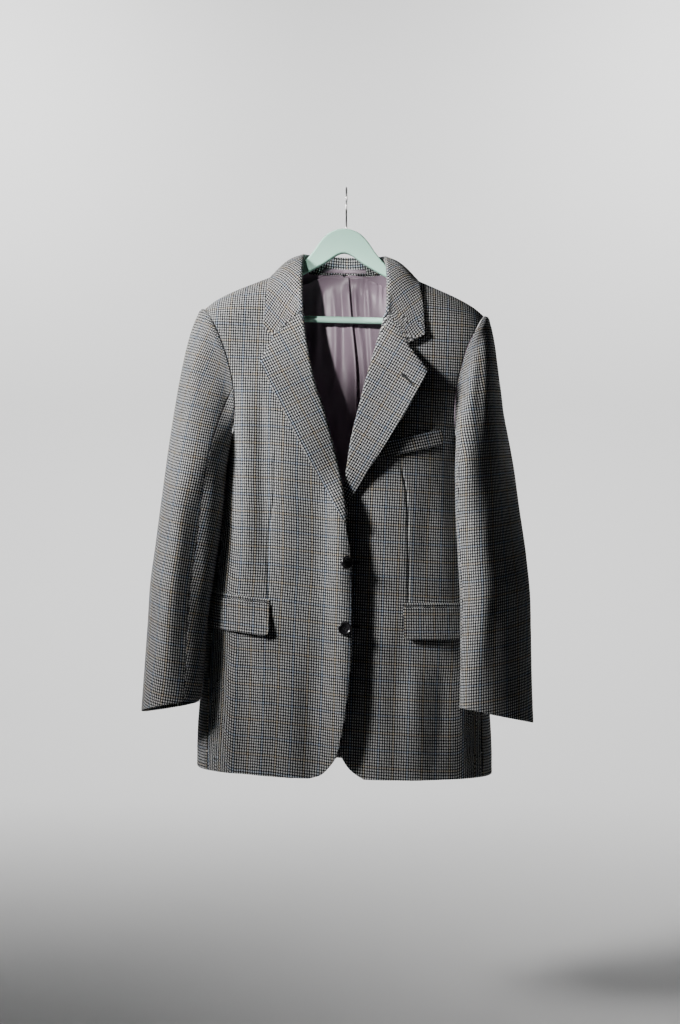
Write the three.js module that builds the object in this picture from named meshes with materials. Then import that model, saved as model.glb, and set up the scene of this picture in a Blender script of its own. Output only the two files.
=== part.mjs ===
import * as THREE from "three";

// A tailored blazer hung open on a flat hanger, in millimetres, +Z up, its front towards -Y.
// The origin is the inner top of the hook. Right and left are the wearer's.
// Places on the garment are u (outwards from its middle line), y and z, for both sides alike.

// Driving dimensions
const clothThick = 2;
const edgeThick = 2.4;
const liningThick = 1;
const seamGap = 0.3;
const hang = { shift: -3, lean: 0.026 };
const roundness = 3.2;
const crownRise = 50;
const crestGap = 0.18;
const foldRadius = 3;
const fullestShare = 0.995;
const frontButton = { radius: 10, thick: 4 };
const sleeveButton = { radius: 7.5, thick: 3.2, pitch: 15.5, fromCuff: 28, seat: -0.2 };
const flap = { length: 150, depth: 48, corner: 9, thick: 2.4, off: 0.7 };
const jet = { depth: 5, thick: 1.2, off: 0.5 };
const welt = { inner: 49, outer: 146.5, top: -396.5, slope: 0.255, depth: 25, thick: 2, off: 0.6 };
const board = { thick: 13, top: -62, under: 1.9 };
const bar = { radius: 5, z: -203, half: 181 };
const hook = { wire: 1.4, radius: 20, stem: 0.34, bow: -0.18, tip: 1.06 };

const right = -1;
const left = 1;

const wool = { color: 0x6f6e69, roughness: 0.92, metalness: 0 };
const satin = { color: 0x9d8f9c, roughness: 0.42, metalness: 0 };
const horn = { color: 0x1b1512, roughness: 0.35, metalness: 0 };
const paint = { color: 0xcfe8dc, roughness: 0.45, metalness: 0 };
const steel = { color: 0x9a9a9c, roughness: 0.3, metalness: 1 };

// The shoulder line's height over the distance from the middle
const shoulderLine = [
  { u: 0, z: -94 },
  { u: 50, z: -114 },
  { u: 77, z: -126 },
  { u: 104, z: -136 },
  { u: 140, z: -150.5 },
  { u: 172, z: -164 },
  { u: 199, z: -178.5 },
  { u: 216, z: -192 },
];

// Half width and the depths of the front and back at each height
const bodySections = [
  { z: -100, half: 250, front: 52, back: 46 },
  { z: -200, half: 240, front: 62, back: 50 },
  { z: -300, half: 214, front: 84, back: 58 },
  { z: -360, half: 194, front: 94, back: 64 },
  { z: -410, half: 181, front: 98, back: 68 },
  { z: -480, half: 186, front: 99, back: 67 },
  { z: -550, half: 195, front: 100, back: 66 },
  { z: -626, half: 205.5, front: 101, back: 70 },
  { z: -700, half: 214.5, front: 103, back: 76 },
  { z: -784, half: 222, front: 105, back: 83 },
  { z: -840, half: 226, front: 107, back: 87 },
  { z: -900, half: 227, front: 108, back: 90 },
];

// Rows of the front panels, hem first: the free edge of each front, and the side seam and armhole
const frontRows = [
  { rightU: 53, rightZ: -897, leftU: 28, leftZ: -897.5, outU: 207, outZ: -894 },
  { rightU: 35, rightZ: -890.5, leftU: 12, leftZ: -888, outU: 207, outZ: -886 },
  { rightU: 20, rightZ: -874, leftU: 1, leftZ: -876, outU: 207, outZ: -870 },
  { rightU: 10, rightZ: -855, leftU: -7, leftZ: -858, outU: 206.5, outZ: -850 },
  { rightU: 2, rightZ: -817, leftU: -12, leftZ: -820, outU: 206, outZ: -813 },
  { rightU: -5, rightZ: -770, leftU: -14, leftZ: -770, outU: 205, outZ: -768 },
  { rightU: -10, rightZ: -715, leftU: -14, leftZ: -715, outU: 202.5, outZ: -714 },
  { rightU: -11, rightZ: -660, leftU: -14, leftZ: -660, outU: 198, outZ: -660 },
  { rightU: -11, rightZ: -610, leftU: -14, leftZ: -610, outU: 193, outZ: -611 },
  { rightU: -9, rightZ: -560, leftU: -14, leftZ: -560, outU: 188, outZ: -562 },
  { rightU: -3, rightZ: -524, leftU: -12, leftZ: -524, outU: 184, outZ: -524 },
  { rightU: 5, rightZ: -478, leftU: 0, leftZ: -478, outU: 180.5, outZ: -474 },
  { rightU: 14, rightZ: -432, leftU: 8, leftZ: -432, outU: 178, outZ: -430 },
  { rightU: 24, rightZ: -391.5, leftU: 14, leftZ: -392, outU: 177, outZ: -403 },
  { rightU: 35, rightZ: -350, leftU: 24, leftZ: -350, outU: 168.5, outZ: -381 },
  { rightU: 50, rightZ: -305, leftU: 37, leftZ: -300, outU: 166, outZ: -343 },
  { rightU: 60, rightZ: -256, leftU: 50, leftZ: -254, outU: 170, outZ: -302 },
  { rightU: 65, rightZ: -224, leftU: 60, leftZ: -221, outU: 180, outZ: -264 },
  { rightU: 69.5, rightZ: -200, leftU: 69, leftZ: -198, outU: 190, outZ: -237 },
  { rightU: 73, rightZ: -175, leftU: 73, leftZ: -174, outU: 200, outZ: -217 },
  { rightU: 75.8, rightZ: -152, leftU: 75.8, leftZ: -151, outU: 207.5, outZ: -204 },
  { rightU: 77.4, rightZ: -135, leftU: 77.4, leftZ: -135, outU: 212.5, outZ: -196 },
  { rightU: 77.9, rightZ: -128.4, leftU: 77.9, leftZ: -128.4, outU: 215, outZ: -193.2 },
  { rightU: 78, rightZ: -126.4, leftU: 78, leftZ: -126.4, outU: 216, outZ: -192 },
];

// Rows of the back panels, hem first: the centre seam and neck, and the side seam and armhole
const backRows = [
  { inU: 0, inZ: -896, outU: 206, outZ: -894 },
  { inU: 0, inZ: -850, outU: 206, outZ: -850 },
  { inU: 0, inZ: -770, outU: 204, outZ: -770 },
  { inU: 0, inZ: -700, outU: 200.5, outZ: -700 },
  { inU: 0, inZ: -630, outU: 194.5, outZ: -632 },
  { inU: 0, inZ: -560, outU: 187.5, outZ: -562 },
  { inU: 0, inZ: -500, outU: 181, outZ: -504 },
  { inU: 0, inZ: -440, outU: 177.5, outZ: -446 },
  { inU: 0, inZ: -390, outU: 176.5, outZ: -402 },
  { inU: 0, inZ: -335, outU: 176, outZ: -372 },
  { inU: 0, inZ: -280, outU: 178, outZ: -333 },
  { inU: 0, inZ: -232, outU: 183, outZ: -294 },
  { inU: 0, inZ: -190, outU: 190.5, outZ: -259 },
  { inU: 0, inZ: -156, outU: 199, outZ: -230 },
  { inU: 0, inZ: -128.5, outU: 207, outZ: -209 },
  { inU: 32, inZ: -128, outU: 212.5, outZ: -197.5 },
  { inU: 60, inZ: -127, outU: 215, outZ: -193.5 },
  { inU: 73, inZ: -126.2, outU: 215.7, outZ: -192.6 },
  { inU: 78, inZ: -126.4, outU: 216, outZ: -192 },
];
const frontArmhole = 13;
const backArmhole = 8;
const underarmDip = 9;

// Rings down each sleeve: centre, half width, half depth, turn in degrees, and how far the last
// ring rises at its front and drops at its outer edge
const sleeveRings = {
  [right]: [
    { z: -452, u: 230, y: -27, wide: 45.5, deep: 70, turn: 8, rise: 0, drop: 0 },
    { z: -505, u: 235.5, y: -37, wide: 46, deep: 66, turn: 8, rise: 0, drop: 0 },
    { z: -560, u: 242, y: -46, wide: 45.5, deep: 62, turn: 9, rise: 0, drop: 0 },
    { z: -615, u: 249.5, y: -54, wide: 44.5, deep: 58, turn: 10, rise: 0, drop: 0 },
    { z: -672, u: 255, y: -58, wide: 42, deep: 55, turn: 12, rise: 0, drop: 0 },
    { z: -730, u: 258.5, y: -63, wide: 42, deep: 52, turn: 14, rise: 1, drop: 1 },
    { z: -772, u: 261, y: -66, wide: 42.5, deep: 50, turn: 15, rise: 2, drop: 4 },
    { z: -798, u: 263, y: -68, wide: 42.5, deep: 49, turn: 15, rise: 3, drop: 6 },
  ],
  [left]: [
    { z: -452, u: 214.5, y: -55, wide: 33, deep: 74, turn: 32, rise: 0, drop: 0 },
    { z: -505, u: 217.5, y: -62, wide: 35, deep: 69, turn: 37, rise: 0, drop: 0 },
    { z: -560, u: 221.5, y: -71, wide: 35, deep: 65, turn: 43, rise: 0, drop: 0 },
    { z: -615, u: 225.5, y: -81.5, wide: 34.5, deep: 62, turn: 48, rise: 0, drop: 0 },
    { z: -672, u: 226, y: -88.5, wide: 33, deep: 60, turn: 53, rise: 2, drop: 0 },
    { z: -730, u: 226, y: -93.5, wide: 31.5, deep: 60, turn: 58, rise: 5, drop: 0 },
    { z: -772, u: 226, y: -96, wide: 30.5, deep: 60, turn: 62, rise: 9, drop: 0 },
    { z: -797, u: 226, y: -98, wide: 30, deep: 60.5, turn: 64, rise: 12, drop: 0 },
  ],
};
const capRows = 6;

// Lines along the collar from the centre back to its front end: neck seam, fold and outer edge
const collarLines = {
  neck: [
    { u: 0, y: 44, z: -128 },
    { u: 31, y: 39, z: -127.5 },
    { u: 57.5, y: 26, z: -125.6 },
    { u: 70, y: 13, z: -125.2 },
    { u: 75.6, y: 0, z: -124.2 },
    { u: 74.6, y: -27, z: -134 },
    { u: 72.8, y: -45, z: -151 },
    { u: 70, y: -56, z: -173 },
    { u: 66.8, y: -60, z: -198 },
  ],
  fold: [
    { u: 0, y: 47, z: -100 },
    { u: 29, y: 43.5, z: -100 },
    { u: 51, y: 31, z: -100.6 },
    { u: 60, y: 15, z: -102 },
    { u: 62.5, y: -1, z: -106 },
    { u: 64.5, y: -24, z: -119 },
    { u: 65, y: -47, z: -144 },
    { u: 64.5, y: -61, z: -171 },
    { u: 63, y: -67, z: -199.5 },
  ],
  edge: [
    { u: 0, y: 50, z: -149 },
    { u: 38, y: 49, z: -149 },
    { u: 74, y: 42, z: -147 },
    { u: 97, y: 25, z: -142 },
    { u: 106.5, y: 0, z: -134 },
    { u: 113.5, y: -30, z: -149 },
    { u: 118, y: -50, z: -173 },
    { u: 121, y: -60, z: -199 },
    { u: 122.5, y: -66, z: -227 },
  ],
};

// Where collar and lapel meet: the notch, and the collar's tip
const gorge = {
  [right]: { notchU: 106, notchZ: -238.5, tipU: 122.5, tipZ: -226.5 },
  [left]: { notchU: 94, notchZ: -245.5, tipU: 122, tipZ: -229 },
};
const notchShare = 0.62;

// Rows of each lapel from its lower end: the roll line, the outer edge, and the edge's lift
const lapelRows = {
  [right]: [
    { foldU: -4, foldZ: -512, edgeU: 2.5, edgeZ: -513, lift: 0 },
    { foldU: 1, foldZ: -478, edgeU: 18.5, edgeZ: -484, lift: 1 },
    { foldU: 5, foldZ: -455, edgeU: 31, edgeZ: -463, lift: 1.5 },
    { foldU: 10, foldZ: -432, edgeU: 44, edgeZ: -441, lift: 2 },
    { foldU: 20, foldZ: -391.5, edgeU: 66, edgeZ: -401, lift: 2.5 },
    { foldU: 31, foldZ: -350, edgeU: 88, edgeZ: -360, lift: 3 },
    { foldU: 46, foldZ: -305, edgeU: 107, edgeZ: -322, lift: 3.5 },
    { foldU: 56, foldZ: -256, edgeU: 120, edgeZ: -293, lift: 4 },
    { foldU: 61, foldZ: -224, edgeU: 125, edgeZ: -281, lift: 4 },
    { foldU: 63, foldZ: -200.5, edgeU: 125.5, edgeZ: -276.5, lift: 4 },
  ],
  [left]: [
    { foldU: -10, foldZ: -505, edgeU: -3, edgeZ: -506, lift: 0 },
    { foldU: -4, foldZ: -478, edgeU: 11, edgeZ: -479, lift: 0.5 },
    { foldU: 0, foldZ: -455, edgeU: 25, edgeZ: -456, lift: 1.5 },
    { foldU: 4, foldZ: -432, edgeU: 38, edgeZ: -434, lift: 3 },
    { foldU: 10, foldZ: -392, edgeU: 63, edgeZ: -395, lift: 7 },
    { foldU: 20, foldZ: -350, edgeU: 89, edgeZ: -353, lift: 11 },
    { foldU: 33, foldZ: -300, edgeU: 110, edgeZ: -315, lift: 14 },
    { foldU: 46, foldZ: -254, edgeU: 121, edgeZ: -294, lift: 14 },
    { foldU: 56, foldZ: -221, edgeU: 124, edgeZ: -287, lift: 13 },
    { foldU: 61, foldZ: -199, edgeU: 124, edgeZ: -285, lift: 12 },
  ],
};

// Soft folds of the hanging cloth: middle, half width, upper and lower end, and depth
const folds = [
  { side: right, face: "front", u: 136, wide: 26, top: -330, end: -550, deep: -3.5 },
  { side: right, face: "front", u: 80, wide: 30, top: -690, end: -905, deep: 3 },
  { side: right, face: "front", u: 150, wide: 28, top: -700, end: -905, deep: -4 },
  { side: left, face: "front", u: 128, wide: 24, top: -430, end: -550, deep: -3 },
  { side: left, face: "front", u: 105, wide: 34, top: -700, end: -905, deep: 3.5 },
  { side: right, face: "back", u: 120, wide: 34, top: -300, end: -905, deep: 5 },
  { side: right, face: "back", u: 52, wide: 30, top: -520, end: -905, deep: -4 },
  { side: left, face: "back", u: 96, wide: 32, top: -340, end: -905, deep: 5 },
  { side: left, face: "back", u: 152, wide: 26, top: -560, end: -905, deep: -4 },
];

const lerp = THREE.MathUtils.lerp;
const ease = (t) => THREE.MathUtils.smoothstep(t, 0, 1);

// A column of a table at a place along another column, on a smooth curve through its rows
function read(table, by, at, column) {
  const rising = table.at(-1)[by] > table[0][by];
  let k = table.findIndex((row) => (rising ? row[by] >= at : row[by] <= at)) - 1;
  if (k === -2) k = table.length - 2;
  k = Math.max(k, 0);
  return hermite(table, by, at, column, k);
}

function hermite(table, by, at, column, k) {
  const slope = (i) => {
    const a = table[Math.max(i - 1, 0)], b = table[Math.min(i + 1, table.length - 1)];
    return (b[column] - a[column]) / (b[by] - a[by]);
  };
  const p = table[k], q = table[k + 1];
  const span = q[by] - p[by];
  const t = THREE.MathUtils.clamp((at - p[by]) / span, 0, 1);
  const t2 = t * t, t3 = t2 * t;
  return (2 * t3 - 3 * t2 + 1) * p[column] + (t3 - 2 * t2 + t) * span * slope(k) +
    (3 * t2 - 2 * t3) * q[column] + (t3 - t2) * span * slope(k + 1);
}

// The same by row number, which may fall between rows
function readRow(table, row, column) {
  const numbered = table.map((values, i) => ({ i, value: values[column] }));
  return read(numbered, "i", row, "value");
}

const shoulderZ = (u) => read(shoulderLine, "u", Math.min(Math.abs(u), 216), "z");
const section = (z, column) => read(bodySections, "z", THREE.MathUtils.clamp(z, -900, -100), column);

// How far the fronts part where they cross, below a height: the right one stands out, the left one
// lies in. Each goes to nothing at its outer distance
const lapTop = -405;
const lapGrow = 120;
const laps = { [right]: { by: 15, outer: 46, wide: 60 }, [left]: { by: -11, outer: 62, wide: 68 } };
function lap(side, u, z) {
  const { by, outer, wide } = laps[side];
  return by * ease((outer - u) / wide) * ease((lapTop - z) / lapGrow);
}

// A fold fades in over foldGrow below its top and out over foldFade past its end
const foldGrow = 90;
const foldFade = 60;
function foldDepth(side, face, u, z) {
  let sum = 0;
  for (const f of folds) {
    if (f.side !== side || f.face !== face) continue;
    const across = Math.max(0, 1 - ((u - f.u) / f.wide) ** 2) ** 2;
    const along = ease((f.top - z) / foldGrow) * ease((z - f.end + foldFade) / foldFade);
    sum += f.deep * across * along;
  }
  return sum;
}

// Depth of the cloth's outer face from the plane y = 0, moved out by a distance
function depth(side, face, u, z, out = 0) {
  const share = Math.min(Math.abs(u) / section(z, "half"), fullestShare);
  const flat = (1 - share ** roundness) ** (1 / roundness);
  const full = section(z, face) * flat + out;
  const over = Math.min(1, Math.max(0, (z - (shoulderZ(u) - crownRise)) / (crownRise + out)));
  const crown = Math.sqrt(1 - over * over);
  const shifted = (face === "front" ? lap(side, u, z) : 0) + foldDepth(side, face, u, z);
  return (full + shifted) * crown;
}

const sideY = { front: -1, back: 1 };
function onBody(side, face, u, z, out = 0) {
  return new THREE.Vector3(u, sideY[face] * depth(side, face, u, z, out), z);
}

// Outward direction of the front or back at a point of it
function bodyNormal(side, face, u, z) {
  const step = 0.6;
  const y = (uu, zz) => depth(side, face, uu, zz);
  const slopeU = (y(u + step, z) - y(u - step, z)) / (2 * step);
  const slopeZ = (y(u, z + step) - y(u, z - step)) / (2 * step);
  return new THREE.Vector3(-slopeU, sideY[face], -slopeZ).normalize();
}

// A closed wall between a grid of outer points and a grid of inner points
function wall(outer, inner, side) {
  const rows = outer.length, columns = outer[0].length;
  const points = [...outer.flat(), ...inner.flat()];
  const o = (i, j) => i * columns + j;
  const n = (i, j) => rows * columns + o(i, j);
  const faces = [];
  const quad = (a, b, c, d) => faces.push(a, b, c, a, c, d);
  for (let i = 0; i + 1 < rows; i++)
    for (let j = 0; j + 1 < columns; j++) {
      quad(o(i, j), o(i, j + 1), o(i + 1, j + 1), o(i + 1, j));
      quad(n(i, j), n(i + 1, j), n(i + 1, j + 1), n(i, j + 1));
    }
  for (let j = 0; j + 1 < columns; j++) {
    quad(o(0, j), n(0, j), n(0, j + 1), o(0, j + 1));
    quad(o(rows - 1, j), o(rows - 1, j + 1), n(rows - 1, j + 1), n(rows - 1, j));
  }
  for (let i = 0; i + 1 < rows; i++) {
    quad(o(i, 0), o(i + 1, 0), n(i + 1, 0), n(i, 0));
    quad(o(i, columns - 1), n(i, columns - 1), n(i + 1, columns - 1), o(i + 1, columns - 1));
  }
  const geometry = new THREE.BufferGeometry();
  const flat = points.flatMap((p) => [p.x * side, p.y, p.z]);
  geometry.setAttribute("position", new THREE.Float32BufferAttribute(flat, 3));
  geometry.setIndex(faces);
  if (signedVolume(flat, faces) < 0) {
    faces.reverse();
    geometry.setIndex(faces);
  }
  geometry.computeVertexNormals();
  return geometry;
}

function signedVolume(flat, faces) {
  let sum = 0;
  const a = new THREE.Vector3(), b = new THREE.Vector3(), c = new THREE.Vector3();
  for (let i = 0; i < faces.length; i += 3) {
    a.fromArray(flat, faces[i] * 3);
    b.fromArray(flat, faces[i + 1] * 3);
    c.fromArray(flat, faces[i + 2] * 3);
    sum += a.dot(b.cross(c));
  }
  return sum / 6;
}

// Directions square to a grid of points, from its neighbours
function gridNormals(grid) {
  const rows = grid.length, columns = grid[0].length;
  return grid.map((line, i) => line.map((p, j) => {
    const across = line[Math.min(j + 1, columns - 1)].clone().sub(line[Math.max(j - 1, 0)]);
    const along = grid[Math.min(i + 1, rows - 1)][j].clone().sub(grid[Math.max(i - 1, 0)][j]);
    return across.cross(along).normalize();
  }));
}

const moved = (grid, normals, by) =>
  grid.map((line, i) => line.map((p, j) => p.clone().addScaledVector(normals[i][j], by)));

const counted = (count) => Array.from({ length: count + 1 }, (_, i) => i);

const group = new THREE.Group();

// Everything but the hook leans and sits a little to the right of it
const hung = new THREE.Group();
hung.matrixAutoUpdate = false;
hung.matrix.set(1, 0, 0, hang.shift, 0, 1, 0, 0, -hang.lean, 0, 1, 0, 0, 0, 0, 1);
group.add(hung);

function add(name, geometry, look, parent = hung) {
  const mesh = new THREE.Mesh(geometry, new THREE.MeshStandardMaterial(look));
  mesh.name = name;
  parent.add(mesh);
  return mesh;
}

const sideName = { [right]: "right", [left]: "left" };

// Place on a front panel: share runs from the free edge to the side seam and armhole
function frontPlace(side, share, row) {
  const key = sideName[side];
  const inner = { u: readRow(frontRows, row, key + "U"), z: readRow(frontRows, row, key + "Z") };
  const outer = { u: readRow(frontRows, row, "outU") - seamGap, z: readRow(frontRows, row, "outZ") };
  return panelPlace(inner, outer, share, ease((row - 14) / 6));
}

function backPlace(side, share, row) {
  const centre = Math.max(readRow(backRows, row, "inU"), 0) + seamGap / 2;
  const inner = { u: centre, z: readRow(backRows, row, "inZ") };
  const outer = { u: readRow(backRows, row, "outU") - seamGap, z: readRow(backRows, row, "outZ") };
  return panelPlace(inner, outer, share, ease((row - 9) / 5));
}

// The upper rows take on the shoulder line's curve
function panelPlace(inner, outer, share, follow) {
  const u = lerp(inner.u, outer.u, share);
  const straight = lerp(shoulderZ(inner.u), shoulderZ(outer.u), share);
  return { u, z: lerp(inner.z, outer.z, share) + follow * (shoulderZ(u) - straight) };
}

// A front or back panel: its outer face on the body, its inner face a cloth's thickness inside.
// Its columns stand closer towards the armhole
const panelColumns = 9;
const columnPower = 1.25;
function panel(side, face, rows) {
  const place = face === "front" ? frontPlace : backPlace;
  const outer = [], inner = [];
  for (const i of counted(rows)) {
    const outerLine = [], innerLine = [];
    for (const j of counted(panelColumns)) {
      const share = 1 - (1 - j / panelColumns) ** columnPower;
      const { u, z } = place(side, share, i);
      const p = onBody(side, face, u, z);
      const crest = i === rows;
      if (crest) p.y = sideY[face] * crestGap;
      const n = crest ? new THREE.Vector3(0, 0, 1) : bodyNormal(side, face, u, z);
      outerLine.push(p);
      innerLine.push(p.clone().addScaledVector(n, -clothThick));
    }
    outer.push(outerLine);
    inner.push(innerLine);
  }
  return wall(outer, inner, side);
}

// Place on the body's rounded side at an angle from its widest line, positive towards the front
function sidePoint(side, angle, z) {
  const c = Math.cos(angle), s = Math.sin(angle);
  const face = s > 0 ? "front" : "back";
  const u = section(z, "half") * Math.abs(c) ** (2 / roundness);
  const deep = section(z, face) * Math.abs(s) ** (2 / roundness);
  return new THREE.Vector3(u, sideY[face] * (deep + foldDepth(side, face, u, z)), z);
}

const angleAt = (u, z) => Math.acos((u / section(z, "half")) ** (roundness / 2));

// Place on a side panel: share runs from the front seam to the back seam, row from the hem up
function sidePlace(side, share, row) {
  const frontU = readRow(frontRows, row, "outU"), frontZ = readRow(frontRows, row, "outZ");
  const backRow = (row / frontArmhole) * backArmhole;
  const backU = readRow(backRows, backRow, "outU"), backZ = readRow(backRows, backRow, "outZ");
  const dip = underarmDip * Math.sin(Math.PI * share) * ease(row - frontArmhole + 1);
  const z = lerp(frontZ, backZ, share) - dip;
  return sidePoint(side, lerp(angleAt(frontU, z), -angleAt(backU, z), share), z);
}

function sideNormal(side, share, row) {
  const e = 0.02;
  const across = sidePlace(side, share + e, row).sub(sidePlace(side, share - e, row));
  return across.cross(new THREE.Vector3(0, 0, 1)).normalize();
}

const sideColumns = 6;
function sidePanel(side) {
  const outer = [], inner = [];
  for (const i of counted(frontArmhole)) {
    const outerLine = [], innerLine = [];
    for (const j of counted(sideColumns)) {
      const share = j / sideColumns;
      const p = sidePlace(side, share, i);
      outerLine.push(p);
      innerLine.push(p.clone().addScaledVector(sideNormal(side, share, i), -clothThick));
    }
    outer.push(outerLine);
    inner.push(innerLine);
  }
  return wall(outer, inner, side);
}

// The armhole, from the shoulder seam down the front, under the arm and up the back
function armhole(side) {
  const loop = [];
  const top = frontRows.length - 1, backTop = backRows.length - 1;
  for (let i = top; i > frontArmhole; i--) {
    const u = frontRows[i].outU, z = frontRows[i].outZ;
    loop.push(i === top ? new THREE.Vector3(u, 0, z) : onBody(side, "front", u, z));
  }
  for (const j of counted(sideColumns)) loop.push(sidePlace(side, j / sideColumns, frontArmhole));
  for (let i = backArmhole + 1; i < backTop; i++)
    loop.push(onBody(side, "back", backRows[i].outU, backRows[i].outZ));
  return loop;
}

const armholes = { [right]: armhole(right), [left]: armhole(left) };

// Angle round the sleeve that each point of the armhole leads to: 0 outside, 90 front, 180 inside
function armholeAngles(loop) {
  const lengths = [0];
  loop.forEach((p, i) => lengths.push(lengths[i] + p.distanceTo(loop[(i + 1) % loop.length])));
  return lengths.map((l) => (l / lengths.at(-1)) * 2 * Math.PI);
}

// A ring of the sleeve, a rounded oval: its long way runs front to back and turns by the ring's turn
const ringRoundness = 2.3;
function ringPoint(ring, angle) {
  const turn = THREE.MathUtils.degToRad(ring.turn);
  const power = 2 / ringRoundness;
  const out = Math.sign(Math.cos(angle)) * Math.abs(Math.cos(angle)) ** power;
  const fore = Math.sign(Math.sin(angle)) * Math.abs(Math.sin(angle)) ** power;
  return new THREE.Vector3(
    ring.u + ring.wide * out * Math.cos(turn) - ring.deep * fore * Math.sin(turn),
    ring.y - ring.wide * out * Math.sin(turn) - ring.deep * fore * Math.cos(turn),
    ring.z + ring.rise * fore - ring.drop * out,
  );
}

// Point on a sleeve: rows 0 to capRows curve from the armhole to the first ring, then ring by ring.
// At the shoulder the cap leaves the armhole almost level, under the arm it leaves straight down
const cap = {
  out: 0.2, power: 1.35,
  shoulder: { droop: 8, leave: 21, arrive: 0.62 },
  under: { droop: 90, leave: 10, arrive: 0.4 },
};
function sleevePoint(side, column, row) {
  const loop = armholes[side], rings = sleeveRings[side];
  const angles = armholeAngles(loop);
  const k = ((column % loop.length) + loop.length) % loop.length;
  const i = Math.floor(k), t = k - i;
  const angle = lerp(angles[i], angles[i + 1], t);
  if (row >= capRows) {
    const ring = {};
    for (const key of Object.keys(rings[0])) ring[key] = readRow(rings, row - capRows, key);
    return ringPoint(ring, angle);
  }
  const start = loop[i].clone().lerp(loop[(i + 1) % loop.length], t);
  start.x += cap.out;
  const end = ringPoint(rings[0], angle);
  const inner = (1 - Math.cos(angle)) / 2;
  const between = (key) => lerp(cap.shoulder[key], cap.under[key], inner);
  const droop = THREE.MathUtils.degToRad(between("droop"));
  const away = new THREE.Vector3(Math.cos(droop), 0, -Math.sin(droop));
  const p1 = start.clone().addScaledVector(away, between("leave"));
  const ringDown = ringPoint(rings[1], angle).sub(end).normalize();
  const p2 = end.clone().addScaledVector(ringDown, (end.z - start.z) * between("arrive"));
  const s = (row / capRows) ** cap.power;
  return new THREE.CubicBezierCurve3(start, p1, p2, end).getPoint(s);
}

function sleeveNormal(side, column, row) {
  const e = 0.05;
  const above = Math.max(row - e, 0);
  const across = sleevePoint(side, column + e, row).sub(sleevePoint(side, column - e, row));
  const along = sleevePoint(side, column, row + e).sub(sleevePoint(side, column, above));
  return across.cross(along).normalize();
}

const sleeveRows = capRows + sleeveRings[right].length - 1;
const frontSeam = 7.4;
const elbowSeam = 17.6;

// A stretch of the sleeve between two seams, given by their places round the armhole
const sleeveSeamShare = 0.006;
function sleevePanel(side, from, to) {
  const marks = [from + sleeveSeamShare];
  for (let k = Math.floor(from) + 1; k < to; k++) marks.push(k);
  marks.push(to - sleeveSeamShare);
  const outer = counted(sleeveRows).map((row) => marks.map((k) => sleevePoint(side, k, row)));
  const inner = outer.map((line, row) => line.map((p, j) =>
    p.clone().addScaledVector(sleeveNormal(side, marks[j], row), -clothThick)));
  return wall(outer, inner, side);
}

// The collar as one folded wall: up the stand, over the fold and down the leaf. The leaf bulges up
// a little, and over its last part it goes over to the gorge
const leafSteps = 5;
const leaf = { bulge: 6, endsFrom: 0.82, edgeClear: 0.9 };
const foldArc = [-90, -50, 0, 50, 90];

function collarAt(section, key) {
  const [u, y, z] = ["u", "y", "z"].map((way) => readRow(collarLines[key], section, way));
  return new THREE.Vector3(u, y, z);
}

function collarLine(place) {
  const sideHere = place < 0 ? right : left;
  const last = collarLines.fold.length - 1;
  const q = Math.abs(place) * last;
  const neck = collarAt(q, "neck"), fold = collarAt(q, "fold"), edge = collarAt(q, "edge");
  const e = 0.02;
  const later = Math.min(q + e, last), sooner = Math.max(q - e, 0);
  const run = collarAt(later, "fold").sub(collarAt(sooner, "fold")).normalize();
  if (q < e) run.set(1, 0, 0);
  const apex = fold.clone().sub(neck.clone().add(edge).multiplyScalar(0.5));
  apex.addScaledVector(run, -apex.dot(run)).normalize();
  const out = run.clone().cross(apex).normalize();
  if (out.dot(edge.clone().sub(neck)) < 0) out.negate();
  const arc = (degrees) => {
    const a = THREE.MathUtils.degToRad(degrees);
    const p = fold.clone().addScaledVector(apex, foldRadius * (Math.cos(a) - 1));
    return p.addScaledVector(out, foldRadius * Math.sin(a));
  };
  const line = [neck, neck.clone().lerp(arc(-90), 0.5), ...foldArc.map(arc)];
  const corner = gorge[sideHere];
  const ended = ease((Math.abs(place) - leaf.endsFrom) / (1 - leaf.endsFrom));
  for (let k = 1; k <= leafSteps; k++) {
    const t = k / leafSteps;
    const p = arc(90).lerp(edge, t);
    p.z += leaf.bulge * Math.sin(Math.PI * t) * (1 - ended);
    const g = gorgeLine(corner, corner.tipU, corner.tipZ, t, arc(90));
    p.x = lerp(p.x, g.u, ended);
    p.z = lerp(p.z, g.z, ended);
    const clear = edgeThick / 2 + lerp(foldRadius, leaf.edgeClear, t);
    line.push(pushOut(p, clear, p.y > 0 ? "back" : "front"));
  }
  return line.map((p) => new THREE.Vector3(p.x * sideHere, p.y, p.z));
}

// From the fold along the gorge to the notch, then along the free end to a tip
function gorgeLine(corner, tipU, tipZ, t, start) {
  const first = Math.min(t / notchShare, 1);
  const second = Math.max((t - notchShare) / (1 - notchShare), 0);
  const u = lerp(lerp(start.x, corner.notchU, first), tipU, second);
  const z = lerp(lerp(start.z, corner.notchZ, first), tipZ, second);
  return { u, z };
}

// Moves a point out until it is clear of the body's outer face
function pushOut(p, clear, face) {
  const share = Math.min(Math.abs(p.x) / section(p.z, "half"), fullestShare);
  const full = section(p.z, face) * (1 - share ** roundness) ** (1 / roundness) + clear;
  const centre = shoulderZ(p.x) - crownRise;
  const over = p.z - centre;
  if (over <= 0) {
    p.y = sideY[face] * Math.max(Math.abs(p.y), full);
    return p;
  }
  const k = Math.hypot(p.y / full, over / (crownRise + clear));
  if (k < 1) {
    p.y /= k;
    p.z = centre + over / k;
  }
  return p;
}

const collarSteps = 16;
function collar() {
  const places = counted(2 * collarSteps).map((i) => i / collarSteps - 1);
  const grid = places.map(collarLine);
  const normals = gridNormals(grid);
  return wall(moved(grid, normals, edgeThick / 2), moved(grid, normals, -edgeThick / 2), 1);
}

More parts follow.
